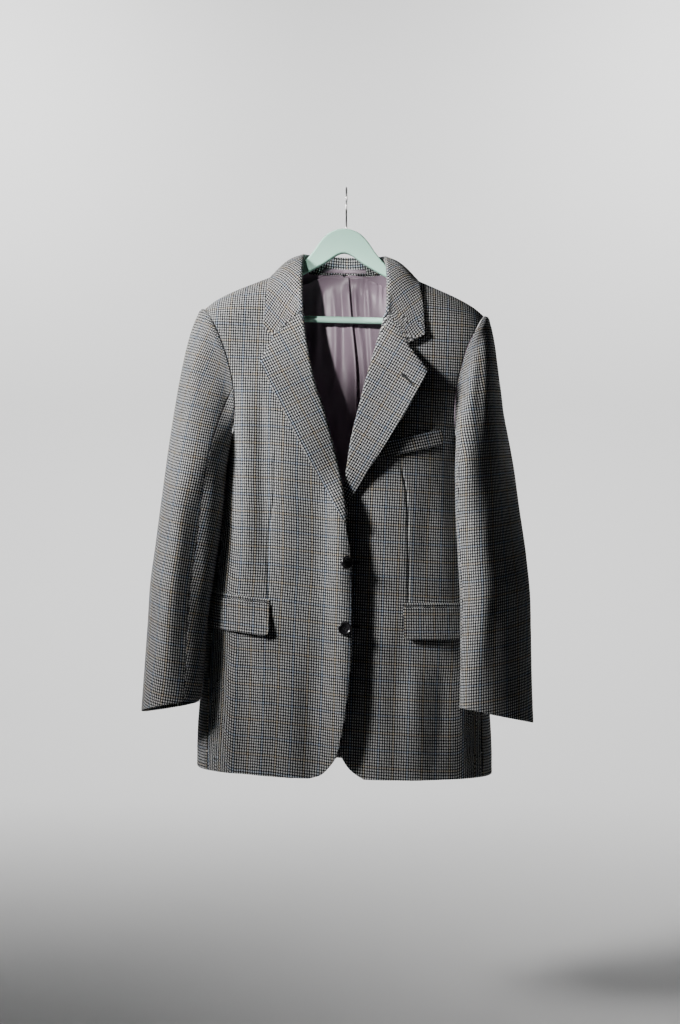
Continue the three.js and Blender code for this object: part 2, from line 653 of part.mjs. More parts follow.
// A lapel: from the front's free edge over the fold at the roll line, then flat to its outer edge.
// Its top row lies just under the collar's end
const lapelShape = { into: 1, slim: 0.32, topGap: 0.5, notchGap: 0.9 };
function lapel(side) {
  const rows = lapelRows[side], last = rows.length - 1;
  const corner = gorge[side];
  const grid = counted(last).map((i) => {
    const r = rows[i];
    const wide = Math.hypot(r.edgeU - r.foldU, r.edgeZ - r.foldZ);
    const dirU = (r.edgeU - r.foldU) / wide, dirZ = (r.edgeZ - r.foldZ) / wide;
    const radius = Math.min(foldRadius, wide * lapelShape.slim);
    const top = ease((i - last + 2) / 2);
    const below = i === last ? lapelShape.topGap : 0;
    const along = (a) => ({ x: r.foldU + dirU * a, z: r.foldZ + dirZ * a - below });
    const line = foldArc.map((degrees) => {
      const angle = THREE.MathUtils.degToRad(degrees);
      const p = along(radius * (1 - Math.cos(angle)));
      return onBody(side, "front", p.x, p.z, radius * (1 + Math.sin(angle)) - lapelShape.into);
    });
    for (let k = 1; k <= leafSteps; k++) {
      const t = k / leafSteps;
      const p = along(lerp(radius, wide, t));
      const notch = { notchU: corner.notchU, notchZ: corner.notchZ - lapelShape.notchGap };
      const g = gorgeLine(notch, r.edgeU, r.edgeZ, t, along(radius));
      const u = lerp(p.x, g.u, top), z = lerp(p.z + below, g.z, top);
      line.push(onBody(side, "front", u, z, 2 * radius - lapelShape.into + r.lift * t * t));
    }
    return line;
  });
  const normals = gridNormals(grid);
  return wall(moved(grid, normals, edgeThick / 2), moved(grid, normals, -edgeThick / 2), side);
}

// The body's outline at one height, from a distance on the front round past its widest line
const outline = { steps: 90, end: -0.5, frontDownTo: 0.35 };
function roundBody(side, startU, z) {
  const from = angleAt(startU, z);
  return counted(outline.steps).map((i) => {
    const angle = lerp(from, outline.end, i / outline.steps);
    const u = section(z, "half") * Math.abs(Math.cos(angle)) ** (2 / roundness);
    return angle > outline.frontDownTo ? onBody(side, "front", u, z) : sidePoint(side, angle, z);
  });
}

// Point and outward direction on a line at a distance along it
function alongBody(line, distance) {
  let rest = distance, i = 0;
  while (rest > line[i].distanceTo(line[i + 1])) {
    rest -= line[i].distanceTo(line[i + 1]);
    i++;
  }
  const run = line[i + 1].clone().sub(line[i]).normalize();
  const normal = new THREE.Vector3(run.y, -run.x, 0);
  if (normal.y > 0 && line[i].y < 0) normal.negate();
  return { point: line[i].clone().addScaledVector(run, rest), normal };
}

// A strip that follows the body, moved out from it, between an upper and a lower edge
function strip(side, startU, length, columns, rows, layer, edges) {
  const outer = [], inner = [];
  for (const i of counted(rows)) {
    const outerLine = [], innerLine = [];
    for (const j of counted(columns)) {
      const t = j / columns;
      const { top, bottom } = edges(t);
      const line = roundBody(side, startU, lerp(top, bottom, i / rows));
      const { point, normal } = alongBody(line, t * length);
      innerLine.push(point.clone().addScaledVector(normal, layer.off));
      outerLine.push(point.clone().addScaledVector(normal, layer.off + layer.thick));
    }
    outer.push(outerLine);
    inner.push(innerLine);
  }
  return wall(outer, inner, side);
}

const pockets = {
  [right]: { inner: 111, top: -640, rise: 13 },
  [left]: { inner: 87, top: -640, rise: 1 },
};

function addPocket(side) {
  const pocket = pockets[side], name = sideName[side];
  const line = (t) => pocket.top + pocket.rise * t;
  const rounding = (t) => {
    const over = Math.max(flap.corner - Math.min(t, 1 - t) * flap.length, 0);
    return flap.corner - Math.sqrt(flap.corner ** 2 - over ** 2);
  };
  const flapEdges = (t) => ({ top: line(t), bottom: line(t) - flap.depth + rounding(t) });
  const jetEdges = (t) => ({ top: line(t) + jet.depth + seamGap, bottom: line(t) + seamGap });
  add("flap_" + name, strip(side, pocket.inner, flap.length, 14, 3, flap, flapEdges), wool);
  add("jet_" + name, strip(side, pocket.inner, flap.length, 12, 1, jet, jetEdges), wool);
}

function breastWelt() {
  const columns = 6, rows = 3, outer = [], inner = [];
  for (const i of counted(rows)) {
    const outerLine = [], innerLine = [];
    for (const j of counted(columns)) {
      const u = lerp(welt.inner, welt.outer, j / columns);
      const z = welt.top + welt.slope * (u - welt.inner) - (welt.depth * i) / rows;
      const p = onBody(left, "front", u, z), n = bodyNormal(left, "front", u, z);
      innerLine.push(p.clone().addScaledVector(n, welt.off));
      outerLine.push(p.clone().addScaledVector(n, welt.off + welt.thick));
    }
    outer.push(outerLine);
    inner.push(innerLine);
  }
  return wall(outer, inner, left);
}

// A button with a raised rim, its back seated on the cloth, facing a direction
const buttonProfile = [[0, 0], [0.82, 0], [1, 0.4], [0.95, 0.9], [0.8, 1], [0.66, 0.68], [0, 0.62]];
function addButton(name, { radius, thick }, side, point, normal, seat) {
  const profile = buttonProfile.map(([x, y]) => new THREE.Vector2(x * radius, y * thick));
  const button = add(name, new THREE.LatheGeometry(profile, 16), horn);
  const facing = new THREE.Vector3(normal.x * side, normal.y, normal.z);
  button.quaternion.setFromUnitVectors(new THREE.Vector3(0, 1, 0), facing);
  button.position.set(point.x * side, point.y, point.z).addScaledVector(facing, seat);
}

// The back lining inside the back panels, from the neck to above the hem. Its pleat lies in three
// layers at the middle, and drifts to the left on the way down
const lining = {
  top: -131.5, bottom: -872, rows: 16, clear: 3.1, fromSeam: 9, widest: 191,
  neckHalf: 66, neckTop: -155, neckEnd: -265, underShoulder: 26, columns: 7,
};
const pleat = { atTop: 7, atEnd: 19, from: -300, over: 170, deep: 13, layer: 2.3, turn: 0.5, lead: 3 };
const liningRows = backRows.slice(0, 14);

function liningMarks(z) {
  const x = lerp(pleat.atEnd, pleat.atTop, ease((z - pleat.from) / pleat.over));
  const narrow = ease((z - lining.neckEnd) / (lining.neckTop - lining.neckEnd));
  const seam = read(liningRows, "outZ", z, "outU") - lining.fromSeam;
  const half = Math.min(seam, lining.widest, lerp(200, lining.neckHalf, narrow));
  const across = (from, to, layer) =>
    counted(lining.columns).map((j) => ({ x: lerp(from, to, j / lining.columns), layer }));
  return [
    ...across(-half, x - pleat.lead, 2),
    { x: x - pleat.turn, layer: 2 }, { x, layer: 1.5 }, { x: x - pleat.turn, layer: 1 },
    { x: x - pleat.deep, layer: 1 }, { x: x - pleat.deep - pleat.turn, layer: 0.5 },
    { x: x - pleat.deep, layer: 0 },
    ...across(x - pleat.lead, half, 0),
  ];
}

function liningBack() {
  const grid = counted(lining.rows).map((i) => {
    const top = lerp(lining.bottom, lining.top, i / lining.rows);
    return liningMarks(top).map((m) => {
      const side = m.x < 0 ? right : left;
      const z = Math.min(top, shoulderZ(m.x) - lining.underShoulder);
      const deep = depth(side, "back", Math.abs(m.x), z, -clothThick - lining.clear);
      return new THREE.Vector3(m.x, deep - m.layer * pleat.layer, z);
    });
  });
  const normals = gridNormals(grid);
  return wall(moved(grid, normals, liningThick / 2), moved(grid, normals, -liningThick / 2), 1);
}

// The strip sewn flat inside the collar stand
const hangLoop = { half: 34, bottom: -124.5, high: 6, thick: 0.7, inside: 2.3, columns: 8, rows: 2 };
function hangingLoop() {
  const grid = counted(hangLoop.rows).map((i) => counted(hangLoop.columns).map((j) => {
    const x = lerp(-hangLoop.half, hangLoop.half, j / hangLoop.columns);
    const neckY = readRow(collarLines.neck, Math.abs(x) / collarLines.neck[1].u, "y");
    const z = hangLoop.bottom + (hangLoop.high * i) / hangLoop.rows;
    return new THREE.Vector3(x, neckY - hangLoop.inside, z);
  }));
  const normals = gridNormals(grid);
  return wall(moved(grid, normals, hangLoop.thick / 2), moved(grid, normals, -hangLoop.thick / 2), 1);
}

// The flat hanger: a round-topped board, arms under the shoulders and lobes that take the bar
function hangerBoard() {
  const head = [[0, board.top], [14, -64.5], [25, -70], [36, -81], [48, -98], [62, -115]];
  const arm = [77, 104, 140, 172, 186, 194].map((u) => [u, shoulderZ(u) - clothThick - board.under]);
  const lobe = [[198, -190], [199, -200], [196, -209], [190, -213], [184, -211], [182, -203]];
  const lower = [
    [180, -192], [172, -185.5], [140, -170], [104, -153.5], [66, -136], [34, -118.5], [0, -100],
  ];
  const half = [...head, ...arm, ...lobe, ...lower];
  const mirrored = half.slice(1, -1).reverse().map(([u, z]) => [-u, z]);
  const shape = new THREE.Shape([...half, ...mirrored].map(([u, z]) => new THREE.Vector2(u, z)));
  const solid = new THREE.ExtrudeGeometry(shape, { depth: board.thick, bevelEnabled: false });
  solid.rotateX(Math.PI / 2);
  return solid.translate(0, board.thick / 2, 0);
}

// The wire hook stands in the plane x = 0: a stem that bows back, then the round top
const wireMiddle = hook.radius + hook.wire;
class HookLine extends THREE.Curve {
  getPoint(t, target = new THREE.Vector3()) {
    if (t < hook.stem) {
      const s = t / hook.stem;
      const z = lerp(board.top + seamGap, -hook.radius + wireMiddle * Math.sin(hook.bow), s);
      return target.set(0, wireMiddle * Math.cos(hook.bow) * ease(s), z);
    }
    const angle = lerp(hook.bow, Math.PI * hook.tip, (t - hook.stem) / (1 - hook.stem));
    const z = wireMiddle * Math.sin(angle) - hook.radius;
    return target.set(0, wireMiddle * Math.cos(angle), z);
  }
}

function hangerHook() {
  const wire = new THREE.Shape();
  wire.absarc(0, 0, hook.wire, 0, 2 * Math.PI);
  const along = { steps: 36, extrudePath: new HookLine(), curveSegments: 4, bevelEnabled: false };
  return new THREE.ExtrudeGeometry(wire, along);
}

// The sleeve's buttons stand just past the elbow seam, counted in rows up from the cuff
const rowPitch = 27;
const pastSeam = 0.75;
function addSleeveButton(side, number) {
  const up = sleeveButton.fromCuff + (number - 1) * sleeveButton.pitch;
  const row = sleeveRows - up / rowPitch, column = elbowSeam + pastSeam;
  const point = sleevePoint(side, column, row), normal = sleeveNormal(side, column, row);
  const name = "button_sleeve_" + sideName[side] + "_" + number;
  addButton(name, sleeveButton, side, point, normal, sleeveButton.seat);
}

for (const side of [right, left]) {
  const name = sideName[side];
  add("front_" + name, panel(side, "front", frontRows.length - 1), wool);
  add("side_" + name, sidePanel(side), wool);
  add("back_" + name, panel(side, "back", backRows.length - 1), wool);
  add("sleeve_top_" + name, sleevePanel(side, elbowSeam - armholes[side].length, frontSeam), wool);
  add("sleeve_under_" + name, sleevePanel(side, frontSeam, elbowSeam), wool);
  add("lapel_" + name, lapel(side), wool);
  addPocket(side);
  for (const number of [1, 2, 3]) addSleeveButton(side, number);
}
add("collar", collar(), wool);
add("breast_welt", breastWelt(), wool);
const frontButtons = [{ u: -1, z: -575, seat: -0.3 }, { u: 0, z: -672, seat: -0.6 }];
frontButtons.forEach(({ u, z, seat }, k) => {
  const point = onBody(right, "front", u, z), normal = bodyNormal(right, "front", u, z);
  addButton("button_front_" + (k + 1), frontButton, right, point, normal, seat);
});
add("lining_back", liningBack(), satin);
add("hanging_loop", hangingLoop(), satin);
add("hanger_board", hangerBoard(), paint);
const barSolid = new THREE.CylinderGeometry(bar.radius, bar.radius, 2 * bar.half, 20);
barSolid.rotateZ(Math.PI / 2).translate(0, 0, bar.z);
add("hanger_bar", barSolid, paint);
add("hanger_hook", hangerHook(), steel, group);

export default group;
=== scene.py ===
# A tailored blazer hung open on a flat hanger. Metres in the frame; the garment's own numbers are in
# millimetres, as u (outwards from its middle line), y and z, and toWorld turns them.
import math
import bpy
import numpy as np
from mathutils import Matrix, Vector


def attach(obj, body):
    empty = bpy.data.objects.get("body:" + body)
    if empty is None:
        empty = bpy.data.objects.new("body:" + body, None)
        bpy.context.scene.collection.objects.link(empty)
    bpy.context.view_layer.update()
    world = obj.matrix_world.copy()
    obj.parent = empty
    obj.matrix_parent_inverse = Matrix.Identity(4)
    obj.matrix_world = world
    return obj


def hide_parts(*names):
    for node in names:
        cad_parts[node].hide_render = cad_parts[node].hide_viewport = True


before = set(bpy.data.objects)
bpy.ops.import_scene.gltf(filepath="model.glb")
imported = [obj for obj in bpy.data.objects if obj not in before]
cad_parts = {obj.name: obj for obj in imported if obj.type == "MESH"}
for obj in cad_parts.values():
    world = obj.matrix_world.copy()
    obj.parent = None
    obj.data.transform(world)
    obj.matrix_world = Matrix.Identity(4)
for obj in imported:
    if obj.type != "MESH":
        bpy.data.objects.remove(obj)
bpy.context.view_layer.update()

right, left = -1, 1
sideName = {right: "right", left: "left"}
# How far the garment sits sideways of the hook, and how much it drops for each millimetre across
hang = {"shift": -3.0, "lean": 0.026}


# A smooth step from 0 to 1
def ease(t):
    t = np.clip(t, 0, 1)
    return t * t * (3 - 2 * t)


# A bell: 1 at its middle, and one over e at its width from there
def bell(x, middle, wide):
    return np.exp(-((x - middle) / wide) ** 2)


# Cubic curve through a table's points: each point's slope is that of the chord between its neighbours
def smoothRead(xs, ys, at):
    xs, ys = np.asarray(xs, float), np.asarray(ys, float)
    if xs[-1] < xs[0]:
        xs, ys = xs[::-1], ys[::-1]
    slopes = np.empty_like(ys)
    slopes[1:-1] = (ys[2:] - ys[:-2]) / (xs[2:] - xs[:-2])
    slopes[0] = (ys[1] - ys[0]) / (xs[1] - xs[0])
    slopes[-1] = (ys[-1] - ys[-2]) / (xs[-1] - xs[-2])
    at = np.clip(at, xs[0], xs[-1])
    k = np.clip(np.searchsorted(xs, at) - 1, 0, len(xs) - 2)
    span = xs[k + 1] - xs[k]
    t = (at - xs[k]) / span
    return ((2 * t**3 - 3 * t**2 + 1) * ys[k] + (t**3 - 2 * t**2 + t) * span * slopes[k]
            + (3 * t**2 - 2 * t**3) * ys[k + 1] + (t**3 - t**2) * span * slopes[k + 1])


# The same by row number
def readRow(table, column, row):
    return smoothRead(np.arange(len(table)), table[:, column], row)


def readPair(table, first, row):
    return readRow(table, first, row), readRow(table, first + 1, row)


# Steps from 0 to 1 that are closer at both ends
def spaced(count, tight=0.6):
    t = np.linspace(0, 1, count)
    return t - tight * np.sin(2 * math.pi * t) / (2 * math.pi)


# Arrays side by side in a new last axis
def joined(*parts):
    return np.stack(parts, -1)


# Distance run along each line of points, from its first
def lengths(points, axis=0):
    steps = np.linalg.norm(np.diff(points, axis=axis), axis=-1)
    return np.concatenate([np.zeros_like(np.take(steps, [0], axis)), np.cumsum(steps, axis)], axis)


# Vectors brought to length 1
def unit(vectors):
    return vectors / np.maximum(np.linalg.norm(vectors, axis=-1, keepdims=True), 1e-9)


# Directions square to a grid of points, turned to the side that a hint points to at the grid's middle
def gridNormals(grid, hint):
    across = np.gradient(grid, axis=1)
    along = np.gradient(grid, axis=0)
    n = unit(np.cross(across, along))
    middle = n[n.shape[0] // 2, n.shape[1] // 2]
    return n if np.dot(middle, hint) > 0 else -n


# Everything but the hook leans and sits a little to the right of it
def toWorld(side, points):
    x = side * points[..., 0]
    return joined(x + hang["shift"], points[..., 1], points[..., 2] - hang["lean"] * x) / 1000


# The shoulder line: distance from the middle, height
shoulderLine = np.array([
    [0, -94], [50, -114], [77, -126], [104, -136], [140, -150.5], [172, -164], [199, -178.5], [216, -192]])

# Height, half width, depth of the front, depth of the back
bodySections = np.array([
    [-100, 250, 52, 46], [-200, 240, 62, 50], [-300, 214, 84, 58], [-360, 194, 94, 64],
    [-410, 181, 98, 68], [-480, 186, 99, 67], [-550, 195, 100, 66], [-626, 205.5, 101, 70],
    [-700, 214.5, 103, 76], [-784, 222, 105, 83], [-840, 226, 107, 87], [-900, 227, 108, 90]])

# Rows of the fronts, hem first: free edge of the right one, of the left one, and the side seam
frontRows = np.array([
    [53, -897, 28, -897.5, 207, -894], [35, -890.5, 12, -888, 207, -886],
    [20, -874, 1, -876, 207, -870], [10, -855, -7, -858, 206.5, -850],
    [2, -817, -12, -820, 206, -813], [-5, -770, -14, -770, 205, -768],
    [-10, -715, -14, -715, 202.5, -714], [-11, -660, -14, -660, 198, -660],
    [-11, -610, -14, -610, 193, -611], [-9, -560, -14, -560, 188, -562],
    [-3, -524, -12, -524, 184, -524], [5, -478, 0, -478, 180.5, -474],
    [14, -432, 8, -432, 178, -430], [24, -391.5, 14, -392, 177, -403],
    [35, -350, 24, -350, 168.5, -381], [50, -305, 37, -300, 166, -343],
    [60, -256, 50, -254, 170, -302], [65, -224, 60, -221, 180, -264],
    [69.5, -200, 69, -198, 190, -237], [73, -175, 73, -174, 200, -217],
    [75.8, -152, 75.8, -151, 207.5, -204], [77.4, -135, 77.4, -135, 212.5, -196],
    [77.9, -128.4, 77.9, -128.4, 215, -193.2], [78, -126.4, 78, -126.4, 216, -192]])

# Rows of the backs, hem first: the centre seam and neck, and the side seam and armhole
backRows = np.array([
    [0, -896, 206, -894], [0, -850, 206, -850], [0, -770, 204, -770], [0, -700, 200.5, -700],
    [0, -630, 194.5, -632], [0, -560, 187.5, -562], [0, -500, 181, -504], [0, -440, 177.5, -446],
    [0, -390, 176.5, -402], [0, -335, 176, -372], [0, -280, 178, -333], [0, -232, 183, -294],
    [0, -190, 190.5, -259], [0, -156, 199, -230], [0, -128.5, 207, -209], [32, -128, 212.5, -197.5],
    [60, -127, 215, -193.5], [73, -126.2, 215.7, -192.6], [78, -126.4, 216, -192]])

body = {
    "roundness": 3.2,      # power of the sections' outline: 2 is an ellipse
    "fullest": 0.995,      # share of the half width past which the depth stays the same
    "crownRise": 50.0,     # height over which the cloth rounds off to the shoulder seam
    "frontArmhole": 13,    # rows where the armholes start
    "backArmhole": 8,
    "underarmDip": 9.0,
    "seamGap": 0.3,
    "cloth": 2.0,          # thickness
    "lapTop": -405, "lapOver": 120,    # height where the lap sets in, and over how much
    "foldIn": 90, "foldOut": 60,       # how far down and up a broad fold fades in and out
}
sideY = {"front": -1, "back": 1}

# How far the fronts part where they cross: the right one stands out, the left one lies in
laps = {right: (15.0, 46.0, 60.0), left: (-11.0, 62.0, 68.0)}

# Broad folds: side, face, u, half width, upper end, lower end, depth
broadFolds = [
    (right, "front", 154, 26, -320, -620, 2.4), (right, "front", 112, 26, -330, -620, -2.4),
    (right, "front", 80, 30, -690, -905, 3), (right, "front", 150, 28, -700, -905, -4),
    (left, "front", 128, 24, -430, -550, -1.2), (left, "front", 105, 34, -700, -905, 3.5),
    (right, "back", 120, 34, -300, -905, 5), (right, "back", 52, 30, -520, -905, -4),
    (left, "back", 96, 32, -340, -905, 5), (left, "back", 152, 26, -560, -905, -4)]

# Creases: from and to as (u, z), half width, depth (out is positive) and bend sideways
creases = {
    (right, "front"): [
        (123, -275, 116, -650, 9, -3.4, 3), (149, -275, 147, -650, 10, 3.0, 3),
        (189, -420, 188, -720, 17, 9.5, 2), (92, -425, 66, -560, 16, 1.0, 5),
        (172, -680, 108, -775, 13, -4.6, 4), (150, -720, 96, -850, 18, 2.2, -7),
        (40, -560, 100, -640, 13, -0.9, 4), (30, -600, 64, -760, 14, 1.1, 5),
        (128, -770, 116, -900, 12, -1.7, 4), (60, -740, 50, -900, 13, -1.3, -4),
        (170, -420, 160, -560, 8, 1.5, 2), (180, -640, 176, -780, 8, -1.2, 3),
        (134, -560, 140, -650, 9, -1.0, 2), (196, -260, 158, -350, 10, -1.5, 5),
        (9, -440, 4, -960, 18, 6.0, 0), (12, -420, 10, -690, 15, 3.4, 0)],
    (left, "front"): [
        (134, -300, 126, -440, 11, -1.1, -4), (150, -400, 140, -560, 10, 0.8, 4),
        (118, -470, 122, -600, 11, -0.7, 3), (96, -500, 70, -620, 14, 0.8, 4),
        (142, -700, 143, -892, 9, -2.4, 4), (112, -706, 106, -890, 12, 1.8, -5),
        (84, -640, 74, -820, 13, -1.5, 5), (52, -650, 48, -850, 14, 1.1, -4),
        (172, -700, 176, -880, 9, 1.4, 3), (168, -560, 162, -650, 8, -1.0, 2),
        (192, -262, 162, -350, 9, -1.4, 4), (26, -440, 22, -960, 20, -2.2, 0)],
    (right, "back"): [
        (150, -250, 118, -420, 15, -2.2, 6), (40, -170, 70, -330, 17, 1.4, 5),
        (24, -330, 40, -560, 14, -1.2, -4), (160, -430, 150, -640, 11, 1.7, 4),
        (92, -600, 88, -880, 14, 2.0, 6), (130, -640, 146, -880, 12, -2.0, -5),
        (30, -700, 26, -880, 12, -1.4, 3), (176, -600, 182, -860, 9, 1.2, 3)],
    (left, "back"): [
        (146, -262, 124, -410, 13, -1.9, 5), (50, -180, 64, -340, 15, 1.3, -4),
        (28, -360, 34, -590, 12, -1.2, 4), (156, -450, 160, -620, 10, 1.5, -3),
        (70, -620, 62, -885, 13, -1.9, -5), (120, -600, 128, -880, 13, 2.1, 6),
        (38, -690, 34, -880, 11, 1.4, 4), (178, -640, 176, -870, 9, -1.2, 2)],
}
crease = {"bow": 4.2, "narrow": 0.8, "widens": 0.5, "fadeIn": 0.3, "fadeOut": 0.4}


# Each crease is a bell across its line, which a sine bends; it fades at both ends and widens downwards
def creaseRelief(rows, a, b):
    total = np.zeros(np.broadcast(a, b).shape)
    for startA, startB, endA, endB, wide, deep, bend in rows:
        da, db = endA - startA, endB - startB
        long = math.hypot(da, db)
        along = ((a - startA) * da + (b - startB) * db) / long**2
        across = ((a - startA) * db - (b - startB) * da) / long + bend * np.sin(crease["bow"] * along)
        spread = wide * (crease["narrow"] + crease["widens"] * np.clip(along, 0, 1))
        ends = ease(along / crease["fadeIn"]), ease((1 - along) / crease["fadeOut"])
        total += deep * bell(across, 0, spread) * ends[0] * ends[1]
    return total


def shoulderZ(u):
    return smoothRead(shoulderLine[:, 0], shoulderLine[:, 1], np.abs(u))


# Half width (column 1), front depth (2) or back depth (3) of the section at a height
def sectionAt(z, column):
    return smoothRead(bodySections[:, 0], bodySections[:, column], z)


def lap(side, u, z):
    by, outer, wide = laps[side]
    return by * ease((outer - u) / wide) * ease((body["lapTop"] - z) / body["lapOver"])


# All creases and broad folds of one face; a broad fold is a squared parabola across
def foldRelief(side, face, u, z):
    total = creaseRelief(creases[side, face], u, z)
    for foldSide, foldFace, middle, wide, top, end, deep in broadFolds:
        if (foldSide, foldFace) == (side, face):
            across = np.maximum(0, 1 - ((u - middle) / wide) ** 2) ** 2
            fade = ease((top - z) / body["foldIn"]), ease((z - end + body["foldOut"]) / body["foldOut"])
            total = total + deep * across * fade[0] * fade[1]
    return total


# The rounded section's depth: the powers of u over the half width and of y over the depth add to 1
def sectionDepth(face, u, z, out):
    power = body["roundness"]
    share = np.minimum(np.abs(u) / sectionAt(z, 1), body["fullest"])
    return sectionAt(z, 2 if face == "front" else 3) * (1 - share**power) ** (1 / power) + out


# Depth of the outer face: a rounded section, with the lap and folds added, brought in to nothing
# over a quarter ellipse below the shoulder line
def depth(side, face, u, z, out=0.0):
    rise = body["crownRise"]
    over = np.clip((z - (shoulderZ(u) - rise)) / (rise + out), 0, 1)
    shifted = foldRelief(side, face, u, z) + (lap(side, u, z) if face == "front" else 0)
    return (sectionDepth(face, u, z, out) + shifted) * np.sqrt(1 - over**2)


def onBody(side, face, u, z, out=0.0):
    u, z = np.broadcast_arrays(np.asarray(u, float), np.asarray(z, float))
    return joined(u, sideY[face] * depth(side, face, u, z, out), z)


# Outward direction of the front or back, from its slopes
def bodyNormal(side, face, u, z):
    step = 0.6
    slopeU = (depth(side, face, u + step, z) - depth(side, face, u - step, z)) / (2 * step)
    slopeZ = (depth(side, face, u, z + step) - depth(side, face, u, z - step)) / (2 * step)
    return unit(joined(-slopeU, np.full_like(slopeU, sideY[face]), -slopeZ))


# Where a point of the front or back lies on the flat cloth: its distance round the body from the
# middle, and its distance up the cloth from the origin's height, each summed over short steps
def onCloth(side, face, u, z):
    count, origin, steepest = 24, -300, 3
    t = (np.arange(count) + 0.5) / count
    level = np.minimum(z, shoulderZ(u) - body["crownRise"])[..., None]
    us = u[..., None] * t
    stepU = (depth(side, face, us + 0.5, level) - depth(side, face, us - 0.5, level))
    roundly = np.sqrt(1 + stepU**2).mean(-1) * u
    zs = origin + (z[..., None] - origin) * t
    stepZ = (depth(side, face, u[..., None], zs + 0.5) - depth(side, face, u[..., None], zs - 0.5))
    upwards = np.sqrt(1 + np.minimum(stepZ**2, steepest**2)).mean(-1) * (z - origin)
    return joined(roundly, upwards)


# A flat map turned about its origin
def turned(uv, degrees):
    a = math.radians(degrees)
    c, s = math.cos(a), math.sin(a)
    return joined(uv[..., 0] * c - uv[..., 1] * s, uv[..., 0] * s + uv[..., 1] * c)


# A smooth-shaded object from points in metres; slots give each face its material
def meshObject(name, points, faces, uv=None, materials=(), slots=None):
    mesh = bpy.data.meshes.new(name)
    mesh.from_pydata(np.asarray(points).reshape(-1, 3).tolist(), [], [list(f) for f in faces])
    for material in materials:
        mesh.materials.append(material)
    if slots is not None:
        mesh.polygons.foreach_set("material_index", np.asarray(slots, np.int32))
    mesh.polygons.foreach_set("use_smooth", np.full(len(mesh.polygons), True))
    if uv is not None:
        corner = np.empty(len(mesh.loops), np.int32)
        mesh.loops.foreach_get("vertex_index", corner)
        layer = mesh.uv_layers.new(name="clothMap")
        layer.data.foreach_set("uv", (np.asarray(uv).reshape(-1, 2)[corner] / 1000).ravel())
    mesh.update()
    piece = bpy.data.objects.new(name, mesh)
    bpy.context.scene.collection.objects.link(piece)
    return piece


# Four-sided faces between the points of a grid, which closes on itself across if asked
def gridFaces(rows, columns, start=0, closed=False):
    i, j = np.meshgrid(np.arange(rows - 1), np.arange(columns if closed else columns - 1), indexing="ij")
    k = (j + 1) % columns
    quads = joined(i * columns + j, i * columns + k, (i + 1) * columns + k, (i + 1) * columns + j)
    return start + quads.reshape(-1, 4)


# Six times the volume that the faces close in: below nothing, they point inwards
def signedVolume(points, quads):
    a, b, c, d = (points[quads[:, k]] for k in range(4))
    return np.sum(a * np.cross(b, c)) + np.sum(a * np.cross(c, d))


# A wall between two grids. Round its border both are drawn in by a share of its thickness, and a line
# between them stays at the true edge, so that each edge is soft and each seam a narrow groove
def wall(name, side, outer, inner, uv, materials, innerSlot=None, draw=0.45):
    mostDrawn = 0.6        # share of the way to the next point
    rows, columns = outer.shape[:2]
    index = np.arange(rows * columns).reshape(rows, columns)
    loop = np.concatenate([index[0], index[1:, -1], index[-1, -2::-1], index[-2:0:-1, 0]])
    i, j = loop // columns, loop % columns
    inside = index[np.clip(i, 1, rows - 2), np.clip(j, 1, columns - 2)]
    flatOuter, flatInner = outer.reshape(-1, 3).copy(), inner.reshape(-1, 3).copy()
    flatUv = uv.reshape(-1, 2)
    rim = (flatOuter[loop] + flatInner[loop]) / 2
    thick = np.linalg.norm(flatOuter[loop] - flatInner[loop], axis=-1, keepdims=True)
    for flat in (flatOuter, flatInner):
        step = flat[inside] - flat[loop]
        far = np.linalg.norm(step, axis=-1, keepdims=True)
        flat[loop] = flat[loop] + step / np.maximum(far, 1e-9) * np.minimum(draw * thick, mostDrawn * far)
    total = rows * columns
    points = np.concatenate([flatOuter, flatInner, rim])
    o, n, r = loop, loop + total, 2 * total + np.arange(len(loop))
    after = np.roll(np.arange(len(loop)), -1)
    outerFaces = gridFaces(rows, columns)
    innerFaces = gridFaces(rows, columns, total)[:, ::-1]
    rimFaces = np.concatenate([
        joined(o, r, r[after], o[after]), joined(r, n, n[after], r[after])])
    faces = np.concatenate([outerFaces, innerFaces, rimFaces])
    if signedVolume(toWorld(side, points), faces) < 0:
        faces = faces[:, ::-1]
    slots = np.zeros(len(faces), int)
    if innerSlot is not None:
        slots[len(outerFaces):len(outerFaces) + len(innerFaces)] = innerSlot.ravel()
    allUv = np.concatenate([flatUv, flatUv, flatUv[loop]])
    return meshObject(name, toWorld(side, points), faces, allUv, materials, slots)


# A wall of a thickness about a grid in its middle; roll is what its outer face gains
def slab(name, side, grid, normal, thick, uv, material, roll=0.0, draw=0.45):
    outer = grid + normal * np.asarray(thick / 2 + roll)[..., None]
    return wall(name, side, outer, grid - normal * (thick / 2), uv, (material,), draw=draw)


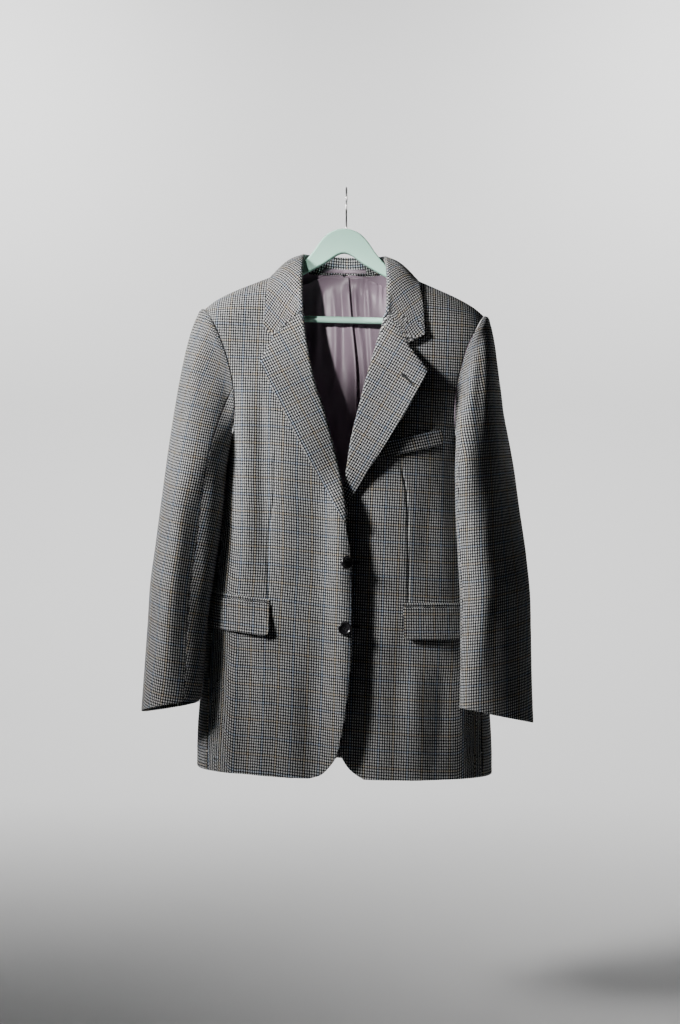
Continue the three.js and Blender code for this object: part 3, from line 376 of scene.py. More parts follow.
# A tube of a radius along a line of points; at its round ends the rings shrink to a pole
def tubeMesh(points, radius, sides):
    points = np.asarray(points, float)
    tangent = unit(np.gradient(points, axis=0))
    aside = np.array([0.0, 0.0, 1.0]) if abs(tangent[:, 2]).max() < 0.9 else np.array([1.0, 0.0, 0.0])
    first = unit(np.cross(tangent, aside))
    second = np.cross(tangent, first)
    angle = np.linspace(0, 2 * math.pi, sides, endpoint=False)
    ring = first[:, None] * np.cos(angle)[None, :, None] + second[:, None] * np.sin(angle)[None, :, None]
    turn = np.radians([75, 50, 25])
    low = points[0] - tangent[0] * radius * np.sin(turn)[:, None]
    high = points[-1] + tangent[-1] * radius * np.sin(turn[::-1])[:, None]
    centres = np.concatenate([low, points, high])
    sizes = radius * np.concatenate([np.cos(turn), np.ones(len(points)), np.cos(turn[::-1])])
    rings = np.concatenate([np.repeat(ring[:1], 3, 0), ring, np.repeat(ring[-1:], 3, 0)])
    shell = centres[:, None] + rings * sizes[:, None, None]
    count = len(centres)
    ends = np.stack([points[0] - tangent[0] * radius, points[-1] + tangent[-1] * radius])
    verts = np.concatenate([shell.reshape(-1, 3), ends])
    faces = [tuple(f) for f in gridFaces(count, sides, closed=True)]
    for k in range(sides):
        faces.append((count * sides, (k + 1) % sides, k))
        faces.append((count * sides + 1, (count - 1) * sides + k, (count - 1) * sides + (k + 1) % sides))
    return verts, faces


# A small maker of node trees: inputs that are nodes' outputs are linked, and others are set
class Tree:
    def __init__(self, name):
        self.material = bpy.data.materials.new(name)
        self.material.use_nodes = True
        self.nodes, self.links = self.material.node_tree.nodes, self.material.node_tree.links
        self.nodes.clear()
        self.output = self.nodes.new("ShaderNodeOutputMaterial")

    def add(self, kind, inputs=None, **settings):
        node = self.nodes.new(kind)
        for key, value in settings.items():
            setattr(node, key, value)
        for key, value in (inputs or {}).items():
            socket = node.inputs[key]
            if isinstance(value, bpy.types.NodeSocket):
                self.links.new(value, socket)
            else:
                socket.default_value = value
        return node

    def place(self):
        return self.add("ShaderNodeTexCoord").outputs["Object"]

    def stretch(self, vector, *scales):
        return self.add("ShaderNodeMapping", {0: vector, 3: scales}).outputs[0]

    def math(self, operation, a, b=0.0):
        return self.add("ShaderNodeMath", {0: a, 1: b}, operation=operation).outputs[0]

    def mix(self, share, a, b):
        node = self.add("ShaderNodeMix", data_type="RGBA")
        for key, value in ((0, share), (6, a), (7, b)):
            if isinstance(value, bpy.types.NodeSocket):
                self.links.new(value, node.inputs[key])
            else:
                node.inputs[key].default_value = value if key == 0 else (*value, 1.0)
        return node.outputs[2]

    def noise(self, vector, scale, detail, rough=0.55):
        inputs = {"Vector": vector, "Scale": scale, "Detail": detail, "Roughness": rough}
        return self.add("ShaderNodeTexNoise", inputs).outputs["Fac"]

    # a noise's usual range, brought to the range from low to high
    def spread(self, value, low, high):
        return self.add("ShaderNodeMapRange", {0: value, 1: 0.3, 2: 0.7, 3: low, 4: high}).outputs[0]

    def bump(self, height, strength, distance, under=None):
        inputs = {"Height": height, "Strength": strength, "Distance": distance}
        if under is not None:
            inputs["Normal"] = under
        return self.add("ShaderNodeBump", inputs).outputs[0]

    def surface(self, inputs):
        shader = self.add("ShaderNodeBsdfPrincipled", inputs)
        self.links.new(shader.outputs[0], self.output.inputs["Surface"])
        return self.material


# Wool in a small check: four dark and four light threads each way in a twill, so that each thread
# passes over two and under two. Its map is in metres of flat cloth
checkCloth = {
    "warp": 0.000451,
    "weft": 0.000538,
    "dark": (0.008, 0.009, 0.012),
    "light": (0.60, 0.605, 0.60),
    "blue": (0.40, 0.48, 0.60),       # tint of every twelfth light stripe
    "tan": (0.58, 0.50, 0.38),
    "repeat": 12,
    "cover": (0.80, 0.97),            # how far light warps and wefts sink between dark yarns
    "roughness": 0.94,
    "sheen": 0.04,
}


def makeCheckCloth():
    t = Tree("checkWool")
    values = checkCloth
    place = t.add("ShaderNodeSeparateXYZ", {0: t.add("ShaderNodeUVMap", uv_map="clothMap").outputs[0]})
    objectPlace = t.place()
    # each yarn wanders a little, so its place is shifted by a slow noise
    wander = t.spread(t.noise(objectPlace, 90.0, 2.0), -0.35, 0.35)
    across = t.math("ADD", t.math("DIVIDE", place.outputs[0], values["warp"]), wander)
    along = t.math("ADD", t.math("DIVIDE", place.outputs[1], values["weft"]), wander)
    warp, weft = t.math("FLOOR", across), t.math("FLOOR", along)

    def every(value, period):
        return t.math("FLOORED_MODULO", value, period)

    warpDark = t.math("LESS_THAN", every(warp, 8.0), 4.0)
    weftDark = t.math("LESS_THAN", every(weft, 8.0), 4.0)
    warpOver = t.math("LESS_THAN", every(t.math("ADD", warp, weft), 4.0), 2.0)

    # a thread's height is the arch of a sine across it, for the thread that lies on top
    def arch(value):
        return t.math("ABSOLUTE", t.math("SINE", t.math("MULTIPLY", value, math.pi)))

    # dark, or light but sunk between dark yarns at its edges
    def shownDark(dark, value, crossing, cover):
        narrow = t.math("MULTIPLY", t.math("LESS_THAN", arch(value), cover), crossing)
        return t.math("MAXIMUM", dark, narrow)

    def stripe(number, shift):
        group = t.math("FLOOR", t.math("DIVIDE", number, 8.0))
        return t.math("LESS_THAN", every(t.math("ADD", group, shift), values["repeat"]), 0.5)

    def yarn(number, dark, first, second):
        light = t.mix(stripe(number, first), values["light"], values["tan"])
        light = t.mix(stripe(number, second), light, values["blue"])
        return t.mix(dark, light, values["dark"])

    warpShown = shownDark(warpDark, across, weftDark, values["cover"][0])
    weftShown = shownDark(weftDark, along, warpDark, values["cover"][1])
    colour = t.mix(warpOver, yarn(weft, weftShown, 3.0, 9.0), yarn(warp, warpShown, 0.0, 6.0))
    # fibres of the other colour show through, and the cloth's tone drifts slowly
    fuzz = t.noise(objectPlace, 2600.0, 2.0, 0.7)
    colour = t.mix(t.spread(fuzz, 0.0, 0.05), colour, (0.17, 0.165, 0.155))
    drift = t.spread(t.noise(objectPlace, 9.0, 3.0), 0.90, 1.08)
    shade = t.math("MULTIPLY", drift, t.spread(t.noise(objectPlace, 420.0, 2.0), 0.90, 1.10))
    tone = t.add("ShaderNodeVectorMath", {0: colour, 3: shade}, operation="SCALE").outputs[0]

    over = t.math("MULTIPLY", arch(across), warpOver)
    under = t.math("MULTIPLY", arch(along), t.math("SUBTRACT", 1.0, warpOver))
    height = t.math("ADD", t.math("ADD", over, under), t.math("MULTIPLY", fuzz, 0.8))
    normal = t.bump(t.noise(objectPlace, 260.0, 3.0, 0.6), 0.10, 0.0012)
    normal = t.bump(height, 0.45, 0.00022, normal)
    return t.surface({
        "Base Color": tone, "Roughness": values["roughness"], "Normal": normal,
        "Specular IOR Level": 0.18, "Sheen Weight": values["sheen"], "Sheen Roughness": 0.45,
        "Sheen Tint": (0.9, 0.9, 0.92, 1.0)})


# Mauve satin: fine ribs across the warp, and a colour that deepens in soft patches
satinCloth = {"colour": (0.345, 0.262, 0.325), "deep": (0.225, 0.162, 0.21), "roughness": (0.37, 0.50)}


def makeSatin():
    t = Tree("mauveSatin")
    place = t.place()
    patch = t.spread(t.noise(place, 14.0, 3.0), 0.0, 0.55)
    colour = t.mix(patch, satinCloth["colour"], satinCloth["deep"])
    streak = t.noise(t.stretch(place, 1.0, 1.0, 0.06), 900.0, 2.0, 0.6)
    colour = t.mix(t.spread(streak, 0.0, 0.22), colour, satinCloth["deep"])
    smooth, worn = satinCloth["roughness"]
    rough = t.spread(t.noise(place, 60.0, 3.0), smooth, worn)
    normal = t.bump(t.noise(t.stretch(place, 0.15, 0.15, 1.0), 1900.0, 1.0), 0.10, 0.0003)
    normal = t.bump(t.noise(place, 30.0, 1.0, 0.4), 0.10, 0.003, normal)
    return t.surface({
        "Base Color": colour, "Roughness": rough, "Normal": normal, "Specular IOR Level": 0.55,
        "Sheen Weight": 0.30, "Sheen Roughness": 0.30, "Anisotropic": 0.45})


# The hard materials: noise of the colour (scale, detail, roughness), how far it is drawn out in height
# and the share that it reaches; both colours; noise and range of the roughness; noise, strength and
# depth of the bump
hardKinds = {
    # nearly black, with greyer drawn-out clouds, and polished unevenly
    "darkHorn": {
        "cloud": (190.0, 4.0, 0.6), "drawn": 3.2, "share": 1.0,
        "colours": ((0.004, 0.004, 0.006), (0.022, 0.020, 0.024)),
        "grain": (900.0, 3.0, 0.55), "rough": (0.20, 0.36), "relief": (1400.0, 2.0), "bump": (0.08, 0.0002),
        "shader": {"Specular IOR Level": 0.6, "Coat Weight": 0.25, "Coat Roughness": 0.18}},
    # a faint orange-peel surface, with scuffs that are lighter and duller
    "mintPaint": {
        "cloud": (42.0, 5.0, 0.65), "drawn": 1.0, "share": 0.30,
        "colours": ((0.52, 0.92, 0.73), (0.60, 0.96, 0.80)),
        "grain": (120.0, 4.0, 0.6), "rough": (0.40, 0.58), "relief": (340.0, 2.0), "bump": (0.05, 0.0006),
        "shader": {"Specular IOR Level": 0.42}},
    # scratches of the drawing, so that roughness changes fast
    "steelWire": {
        "cloud": (90.0, 4.0, 0.55), "drawn": 1.0, "share": 1.0,
        "colours": ((0.56, 0.56, 0.57), (0.42, 0.41, 0.40)),
        "grain": (1300.0, 3.0, 0.6), "rough": (0.22, 0.42), "relief": (2200.0, 2.0), "bump": (0.06, 0.0001),
        "shader": {"Metallic": 1.0}},
}


def makeHard(name):
    t, kind = Tree(name), hardKinds[name]
    place = t.place()
    cloud = t.noise(t.stretch(place, 1.0, 1.0, kind["drawn"]), *kind["cloud"])
    colour = t.mix(t.spread(cloud, 0.0, kind["share"]), *kind["colours"])
    rough = t.spread(t.noise(place, *kind["grain"]), *kind["rough"])
    normal = t.bump(t.noise(place, *kind["relief"]), *kind["bump"])
    return t.surface({"Base Color": colour, "Roughness": rough, "Normal": normal, **kind["shader"]})


# Sewing thread: two plies that wind round it, as slanting bands on its surface
def makeThread(name, colour, second):
    t = Tree(name)
    place = t.place()
    waves = {"Vector": place, "Scale": 1500.0, "Distortion": 1.5}
    twist = t.add("ShaderNodeTexWave", waves, bands_direction="DIAGONAL").outputs["Fac"]
    shade = t.mix(twist, colour, second)
    normal = t.bump(twist, 0.3, 0.0001)
    return t.surface({"Base Color": shade, "Roughness": 0.75, "Normal": normal, "Sheen Weight": 0.15})


wool = makeCheckCloth()
satin = makeSatin()
horn, paint, wire = (makeHard(name) for name in hardKinds)
darkThread = makeThread("blackThread", (0.012, 0.012, 0.014), (0.030, 0.029, 0.030))
stripThread = makeThread("plumThread", (0.045, 0.035, 0.050), (0.085, 0.066, 0.090))
print("materials made")


# All pieces ride the one body; one that isn't in the CAD replaces no node
def finishPiece(piece, node=None):
    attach(piece, "root")
    if node:
        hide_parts(node)


def addPiece(name, points, faces, material, node=None):
    piece = meshObject(name, points, faces, None, (material,))
    finishPiece(piece, node)
    return piece


# Each cloth piece is finished like any other piece: it rides the body and its node is hidden
def finishCloth(piece, node):
    finishPiece(piece, node)


# Darts: distance from the middle at five heights, from the upper end down
darts = {
    right: [(102, -401), (105, -429), (106, -483), (114, -542), (114, -640)],
    left: [(83, -415), (86, -438), (92, -470), (94, -520), (95, -640)],
}
dartGroove = {"wide": 1.5, "deep": 1.7, "puff": 0.35, "puffWide": 9.0, "fadeTop": 30, "fadeTip": 3}

panelGrid = {"rows": 196, "sideRows": 132, "inner": 26, "outer": 30, "back": 54, "side": 16}

panel = {
    "frontCurve": (14, 6),     # row from which, and rows over which, the shoulder line's curve shows
    "backCurve": (9, 5),
    "drawnIn": (1.7, -508, 20, 5),     # free edge: how far, below what height, over how much, width
    "edgeRoll": (0.35, 210, 7, 3.2),   # height, the front's width, distance from the edge, width
    "seamRoll": (0.35, 7, 3.0),
    "hemRoll": (0.3, -865, 2.2),
    "edgeRollTop": (-520, 30), "seamRollTop": (-150, 20),
    "satinAbove": -868, "facing": 78, "seamY": 0.18,
}


# Row numbers that stand evenly along a panel, closer at its hem and top
def evenRows(table, columns, count):
    edge = [joined(table[:, a], table[:, b]) for a, b in columns]
    run = sum(lengths(line) for line in edge) / len(edge)
    return np.interp(spaced(count, 0.5) * run[-1], run, np.arange(len(table)))


# Between two edges; the upper rows take on the shoulder line's curve
def panelPlace(innerU, innerZ, outerU, outerZ, share, follow):
    u = innerU + (outerU - innerU) * share
    straight = shoulderZ(innerU) + (shoulderZ(outerU) - shoulderZ(innerU)) * share
    return u, innerZ + (outerZ - innerZ) * share + follow * (shoulderZ(u) - straight)


def frontPlace(side, share, row):
    first = 0 if side == right else 2
    innerU, innerZ = readPair(frontRows, first, row)
    outerU, outerZ = readPair(frontRows, 4, row)
    start, over = panel["frontCurve"]
    return panelPlace(innerU, innerZ, outerU - body["seamGap"], outerZ, share, ease((row - start) / over))


def backPlace(share, row):
    (innerU, innerZ), (outerU, outerZ) = readPair(backRows, 0, row), readPair(backRows, 2, row)
    innerU, outerU = np.maximum(innerU, 0) + body["seamGap"] / 2, outerU - body["seamGap"]
    start, over = panel["backCurve"]
    return panelPlace(innerU, innerZ, outerU, outerZ, share, ease((row - start) / over))


# Columns stand close together at the free edge, at the dart and at the armhole
def frontShares(side, rows):
    line = np.array(darts[side])
    edgeU, edgeZ = frontPlace(side, np.zeros_like(rows), rows)
    farU, farZ = frontPlace(side, np.ones_like(rows), rows)
    dartU = smoothRead(line[:, 1], line[:, 0], (edgeZ + farZ) / 2)
    at = np.clip((dartU - edgeU) / (farU - edgeU), 0.25, 0.75)[:, None]
    inner = spaced(panelGrid["inner"])[None]
    outer = spaced(panelGrid["outer"])[None, 1:]
    return np.concatenate([at * inner, at + (1 - at) * outer], 1)


# The dart is a narrow bell-shaped groove between two slight swellings
def dartRelief(side, u, z):
    line = np.array(darts[side])
    away = u - smoothRead(line[:, 1], line[:, 0], z)
    top, end = line[0, 1], line[-1, 1]
    tip = dartGroove["fadeTip"]
    fade = ease((top - z) / dartGroove["fadeTop"]) * ease((z - end + tip) / tip)
    groove = -dartGroove["deep"] * bell(away, 0, dartGroove["wide"])
    puff = dartGroove["puff"] * bell(away, 0, dartGroove["puffWide"])
    return (groove + puff) * fade


# Along the turned hem the cloth is a little thicker
def hemRoll(z):
    by, level, wide = panel["hemRoll"]
    return by * bell(z, level, wide)


# On the hung jacket the cloth's rows sink towards the middle on the right front and away from it on
# the left, and its columns lean
frontLean = {right: {"inner": -0.105, "outer": -0.02, "until": 112, "columns": 0.03},
             left: {"inner": 0.035, "outer": 0.035, "until": 100, "columns": -0.03}}


# The cloth's map of a front, leaned
def leaned(side, uv):
    lean = frontLean[side]
    u, v = uv[..., 0], uv[..., 1]
    drop = lean["inner"] * np.minimum(u, lean["until"]) + lean["outer"] * np.maximum(u - lean["until"], 0)
    return joined(u + lean["columns"] * v, v + drop)


# A panel's two faces from its places on the body; its top row lies on the shoulder seam
def panelWall(side, face, u, z, relief, uv, lined):
    normal = bodyNormal(side, face, u, z)
    outer = onBody(side, face, u, z) + normal * (relief + hemRoll(z))[..., None]
    inner = outer - normal * body["cloth"]
    for grid, drop in ((outer, 0.0), (inner, body["cloth"])):
        grid[-1, :, 1] = sideY[face] * panel["seamY"]
        grid[-1, :, 2] = z[-1] - drop
    name = f"cloth_{face}_{sideName[side]}"
    return wall(name, side, outer, inner, uv, (wool, satin), lined.astype(int))


def frontPanel(side):
    rows = evenRows(frontRows, [(0, 1), (4, 5)], panelGrid["rows"])
    shares = frontShares(side, rows)
    row = np.broadcast_to(rows[:, None], shares.shape)
    u, z = frontPlace(side, shares, row)
    # the edge is drawn in where the lapel's fold goes round it
    by, top, over, wide = panel["drawnIn"]
    u = u + by * ease((z - top) / over) * np.exp(-(u - u[:, :1]) / wide)
    by, across, middle, wide = panel["edgeRoll"]
    top, over = panel["edgeRollTop"]
    roll = by * bell(shares * across, middle, wide) * ease((top - z) / over)
    # the front's own cloth turns in behind its edge, and satin starts beyond it
    facing = (u - u[:, :1])[:-1, :-1] > panel["facing"]
    lined = facing & (z[:-1, :-1] > panel["satinAbove"])
    uv = leaned(side, onCloth(side, "front", u, z))
    return panelWall(side, "front", u, z, dartRelief(side, u, z) + roll, uv, lined)


def backPanel(side):
    rows = evenRows(backRows, [(0, 1), (2, 3)], panelGrid["rows"])
    share = spaced(panelGrid["back"], 0.5)[None]
    u, z = backPlace(share, rows[:, None])
    by, middle, wide = panel["seamRoll"]
    top, over = panel["seamRollTop"]
    roll = by * bell(u, middle, wide) * ease((top - z) / over)
    lined = z[:-1, :-1] > panel["satinAbove"]
    return panelWall(side, "back", u, z, roll, onCloth(side, "back", u, z), lined)


# The body's side at an angle from its widest line: the section's outline by the power of its cosine
# and sine
def sidePoint(side, angle, z):
    power, foldsFrom = 2 / body["roundness"], 0.3
    c, s = np.cos(angle), np.sin(angle)
    u = sectionAt(z, 1) * np.abs(c) ** power
    fade = ease(np.abs(s) / foldsFrom)
    front = sectionAt(z, 2) * np.abs(s) ** power + fade * foldRelief(side, "front", u, z)
    back = sectionAt(z, 3) * np.abs(s) ** power + fade * foldRelief(side, "back", u, z)
    return joined(u, np.where(s > 0, -front, back), z)


# The angle of the place at a distance from the middle, on the front
def angleAt(u, z):
    return np.arccos(np.clip((u / sectionAt(z, 1)) ** (body["roundness"] / 2), 0, 1))


# Place on a side: share runs from the front's seam to the back's, and its top dips under the arm
def sidePlace(side, share, row):
    frontU, frontZ = readPair(frontRows, 4, row)
    backRow = row / body["frontArmhole"] * body["backArmhole"]
    backU, backZ = readPair(backRows, 2, backRow)
    dip = body["underarmDip"] * np.sin(math.pi * share) * ease(row - body["frontArmhole"] + 1)
    z = frontZ + (backZ - frontZ) * share - dip
    front, back = angleAt(frontU, z), -angleAt(backU, z)
    return sidePoint(side, front + (back - front) * share, z)


def sidePanel(side):
    top = body["frontArmhole"]
    table = frontRows[:top + 1]
    rows = evenRows(table, [(4, 5)], panelGrid["sideRows"])
    share = spaced(panelGrid["side"], 0.4)
    outer = sidePlace(side, share[None], rows[:, None])
    normal = gridNormals(outer, (1, 0, 0))
    outer = outer + normal * hemRoll(outer[..., 2:])
    inner = outer - normal * body["cloth"]
    across = lengths(outer, 1)
    start = onCloth(side, "front", outer[:, 0, 0], outer[:, 0, 2])[:, 0]
    uv = joined(start[:, None] + across, outer[..., 2])
    lined = (outer[:-1, :-1, 2] > panel["satinAbove"]).astype(int)
    return wall("cloth_side_" + sideName[side], side, outer, inner, uv, (wool, satin), lined)


for side, name in sideName.items():
    finishCloth(frontPanel(side), "front_" + name)
    finishCloth(backPanel(side), "back_" + name)
    finishCloth(sidePanel(side), "side_" + name)
print("fronts, backs and sides made")


# Rings down each sleeve: height, centre out and to the back, half width, half depth, turn in
# degrees, rise at the front and drop at the outer edge
sleeveRings = {
    right: np.array([
        [-452, 230, -27, 45.5, 70, 8, 0, 0], [-505, 235.5, -37, 46, 66, 8, 0, 0],
        [-560, 242, -46, 45.5, 62, 9, 0, 0], [-615, 249.5, -54, 44.5, 58, 10, 0, 0],
        [-672, 255, -58, 42, 55, 12, 0, 0], [-730, 258.5, -63, 42, 52, 14, 1, 1],
        [-772, 261, -66, 42.5, 50, 15, 5, 4], [-800, 263, -68, 42.5, 49, 15, 10, 6]]),
    left: np.array([
        [-452, 214.5, -55, 33, 74, 32, 0, 0], [-505, 217.5, -62, 35, 69, 37, 0, 0],
        [-560, 221.5, -71, 35, 65, 43, 0, 0], [-615, 225.5, -81.5, 34.5, 62, 48, 0, 0],
        [-672, 226, -88.5, 33, 60, 53, 2, 0], [-730, 226, -93.5, 31.5, 60, 58, 5, 0],
        [-772, 226, -96, 30.5, 60, 62, 9, 0], [-797, 226, -98, 30, 60.5, 64, 12, 0]]),
}
sleeve = {
    "roundness": 2.3,
    "capRows": 6,          # rows of the cap, above the first ring
    "out": 0.2,            # gap to the body at the armhole
    "power": 1.35,
    "shoulder": (8.0, 21.0, 0.62),   # droop in degrees, and how strongly the cap leaves and arrives
    "under": (90.0, 10.0, 0.40),
    "places": (10, 16, 26),          # round the armhole: end of the front, of the underarm and of the back
    "frontSeam": 7.4, "elbowSeam": 17.6, "seamGap": 0.0012,
    "lastRow": 13, "rows": 168, "columns": 58,
    "capFade": 25, "cuffFade": 12,     # over which creases fade at both ends
    "satinFrom": 32,       # height of the cloth that turns in at the cuff
}

# Creases of the sleeves: from and to as (angle, height), half width in degrees, depth, bend. The
# angle is 0 outside, 90 in front and 180 inside
sleeveCreases = {
    right: [
        (84, -235, 112, -400, 13, -2.6, 5), (46, -225, 62, -420, 15, 2.2, -6),
        (20, -300, 28, -560, 16, -1.8, 5), (112, -400, 100, -700, 15, -3.6, -6),
        (62, -420, 72, -790, 16, 4.4, 7), (128, -520, 134, -780, 14, 1.2, 5),
        (36, -600, 20, -790, 14, -1.5, 4), (100, -650, 104, -792, 12, -1.6, -5),
        (300, -480, 318, -760, 16, 1.8, 6), (262, -420, 250, -640, 15, -2.0, -5),
        (232, -560, 226, -760, 14, 1.6, 5), (330, -300, 326, -520, 14, -1.5, 5),
        (160, -560, 214, -610, 15, -1.4, 5), (170, -640, 222, -668, 14, 1.2, -5),
        (150, -330, 146, -900, 26, 6.8, 0)],
    left: [
        (74, -228, 104, -330, 9, -2.8, 4), (52, -222, 88, -392, 9, 2.2, -4),
        (36, -240, 60, -430, 12, -2.2, 5), (98, -330, 70, -470, 11, 2.0, 5),
        (20, -330, 30, -540, 14, 1.8, -5), (84, -470, 78, -690, 14, -2.2, 6),
        (50, -480, 52, -760, 15, 2.0, -6), (110, -520, 112, -780, 12, 1.7, 5),
        (24, -600, 20, -780, 13, -1.7, 5), (300, -470, 312, -770, 16, 1.8, 6),
        (262, -400, 254, -620, 15, -2.0, -5), (236, -560, 230, -760, 14, 1.5, 5),
        (336, -300, 330, -500, 13, -1.6, 5), (158, -548, 214, -596, 15, -1.6, 5)],
}


# The armhole: down the front from the shoulder, under the arm and up the back. The place k counts
# the rows passed
def armholeAt(side, k):
    frontEnd, underEnd, _ = sleeve["places"]
    down = len(frontRows) - 1 - k
    front = onBody(side, "front", *readPair(frontRows, 4, down))
    share = np.clip((k - frontEnd) / (underEnd - frontEnd), 0, 1)
    below = sidePlace(side, share, np.full_like(k, body["frontArmhole"]))
    up = body["backArmhole"] + (k - underEnd)
    back = onBody(side, "back", *readPair(backRows, 2, up))
    first, last = (k <= frontEnd)[..., None], (k >= underEnd)[..., None]
    return np.where(first, front, np.where(last, back, below))


# The angle round an armhole is its share of the whole length
class Armhole:
    def __init__(self, side):
        self.k = np.linspace(0, sleeve["places"][-1], 2601)
        self.points = armholeAt(side, self.k)
        run = lengths(self.points)
        self.angle = run / run[-1] * 2 * math.pi

    def place(self, angle):
        turn = np.mod(angle, 2 * math.pi)
        return joined(*[np.interp(turn, self.angle, self.points[:, c]) for c in range(3)])

    def angleOf(self, k):
        return float(np.interp(k, self.k, self.angle))


armholes = {side: Armhole(side) for side in (right, left)}


# A ring is a rounded oval whose long way runs front to back, turned about the vertical
def ringPoint(side, angle, q):
    z, u, y, wide, deep, turn, rise, drop = (readRow(sleeveRings[side], c, q) for c in range(8))
    power = 2 / sleeve["roundness"]
    out = np.sign(np.cos(angle)) * np.abs(np.cos(angle)) ** power
    fore = np.sign(np.sin(angle)) * np.abs(np.sin(angle)) ** power
    c, s = np.cos(np.radians(turn)), np.sin(np.radians(turn))
    return joined(u + wide * out * c - deep * fore * s,
                  y - wide * out * s - deep * fore * c,
                  z + rise * fore - drop * out)


# Rows 0 to capRows run along a cubic curve from the armhole to the first ring, and the rest ring by
# ring. The cap leaves the shoulder nearly level and the underarm straight down
def sleeveBase(side, angle, row):
    caps = sleeve["capRows"]
    angle, row = np.broadcast_arrays(angle, row)
    below = ringPoint(side, angle, np.maximum(row - caps, 0))
    start = armholes[side].place(angle) + np.array([sleeve["out"], 0, 0])
    end = ringPoint(side, angle, np.zeros_like(row, float))
    inner = (1 - np.cos(angle)) / 2
    droop, leave, arrive = (a + (b - a) * inner for a, b in zip(sleeve["shoulder"], sleeve["under"]))
    droop = np.radians(droop)
    away = joined(np.cos(droop), np.zeros_like(droop), -np.sin(droop))
    afterStart = start + away * leave[..., None]
    down = unit(ringPoint(side, angle, np.ones_like(row, float)) - end)
    beforeEnd = end + down * ((end - start)[..., 2] * arrive)[..., None]
    s = (np.clip(row / caps, 0, 1) ** sleeve["power"])[..., None]
    cap = ((1 - s)**3 * start + 3 * (1 - s)**2 * s * afterStart + 3 * (1 - s) * s**2 * beforeEnd
           + s**3 * end)
    return np.where((row < caps)[..., None], cap, below)


# Along the top of the armhole the sleeve's head stands up in a soft roll, with small puckers
def headRoll(angle, near):
    high, middle, wide = 1.5, 7, 6.0
    up = ease((np.cos(angle) - 0.1) / 0.5)
    pucker = 1 + 0.22 * np.sin(angle * 26 + 1.0) + 0.14 * np.sin(angle * 43)
    return high * up * bell(near, middle, wide) * pucker


# How far the check's columns and rows lean on each sleeve
sleeveLean = {right: (0.10, 0.15), left: (0.06, 0.10)}


# The part of a sleeve between two places round the armhole
def sleevePiece(side, start, end, name):
    hole, gap = armholes[side], sleeve["seamGap"]
    low, high = hole.angleOf(start), hole.angleOf(end)
    if low > high:
        low -= 2 * math.pi
    angles = low + gap + (high - low - 2 * gap) * spaced(sleeve["columns"], 0.5)
    # rows that are even along the middle column
    dense = np.linspace(0, sleeve["lastRow"], 400)
    middle = np.array([(low + high) / 2])
    run = lengths(sleeveBase(side, middle[None], dense[:, None])[:, 0])
    rows = np.interp(spaced(sleeve["rows"], 0.45) * run[-1], run, dense)
    grid = sleeveBase(side, angles[None], rows[:, None])
    axis = np.stack([readRow(sleeveRings[side], c, 4.0) for c in (1, 2, 0)])
    out = grid[len(rows) * 2 // 3, len(angles) // 2] - axis
    normal = gridNormals(grid, (out[0], out[1], 0))
    height = grid[..., 2]
    near = lengths(grid, 0)
    degrees = np.broadcast_to(np.degrees(angles)[None], height.shape)
    # the angles of a piece may lie below or above a crease's by a whole turn
    relief = sum(creaseRelief(sleeveCreases[side], degrees + turn, height) for turn in (-360, 0, 360))
    relief *= ease(near / sleeve["capFade"]) * ease((near[-1:] - near) / sleeve["cuffFade"] + 0.25)
    relief += headRoll(np.broadcast_to(angles[None], height.shape), near)
    grid = grid + normal * relief[..., None]
    normal = gridNormals(grid, (out[0], out[1], 0))
    inner = grid - normal * body["cloth"]
    # the cloth's map: the distance between neighbouring columns square to them, and the distance
    # along each column from the first ring
    along = unit(np.gradient(grid, axis=0))
    step = np.diff(grid, axis=1)
    square = np.linalg.norm(np.cross(step, (along[:, 1:] + along[:, :-1]) / 2), axis=-1)
    across = np.concatenate([np.zeros((len(rows), 1)), np.cumsum(square, 1)], 1)
    across -= across[:, len(angles) // 2:len(angles) // 2 + 1]
    first = np.array([np.interp(sleeve["capRows"], rows, near[:, c]) for c in range(len(angles))])
    u, v = across, first[None] - near
    uv = joined(u - sleeveLean[side][0] * v, v + sleeveLean[side][1] * u)
    lined = (near[-1:, :-1] - near[:-1, :-1] > sleeve["satinFrom"]).astype(int)
    return wall(name, side, grid, inner, uv, (wool, satin), lined)


for side, name in sideName.items():
    top = sleevePiece(side, sleeve["elbowSeam"], sleeve["frontSeam"], "cloth_sleeveTop_" + name)
    under = sleevePiece(side, sleeve["frontSeam"], sleeve["elbowSeam"], "cloth_sleeveUnder_" + name)
    finishCloth(top, "sleeve_top_" + name)
    finishCloth(under, "sleeve_under_" + name)
print("sleeves made")


# Along the collar from the centre back to its front end: neck seam, fold and outer edge, each as
# (u, y, z)
collarLines = {
    "neck": np.array([[0, 44, -128], [31, 39, -127.5], [57.5, 26, -125.6], [70, 13, -125.2],
                      [75.6, 0, -124.2], [74.6, -27, -134], [72.8, -45, -151], [70, -56, -173],
                      [66.8, -60, -198]]),
    "fold": np.array([[0, 47, -100], [29, 43.5, -100], [51, 31, -100.6], [60, 15, -102],
                      [62.5, -1, -106], [64.5, -24, -119], [65, -47, -144], [64.5, -61, -171],
                      [63, -67, -199.5]]),
    "edge": np.array([[0, 50, -149], [38, 49, -149], [74, 42, -147], [97, 25, -142],
                      [106.5, 0, -134], [113.5, -30, -149], [118, -50, -173], [121, -60, -199],
                      [122.5, -66, -227]]),
}
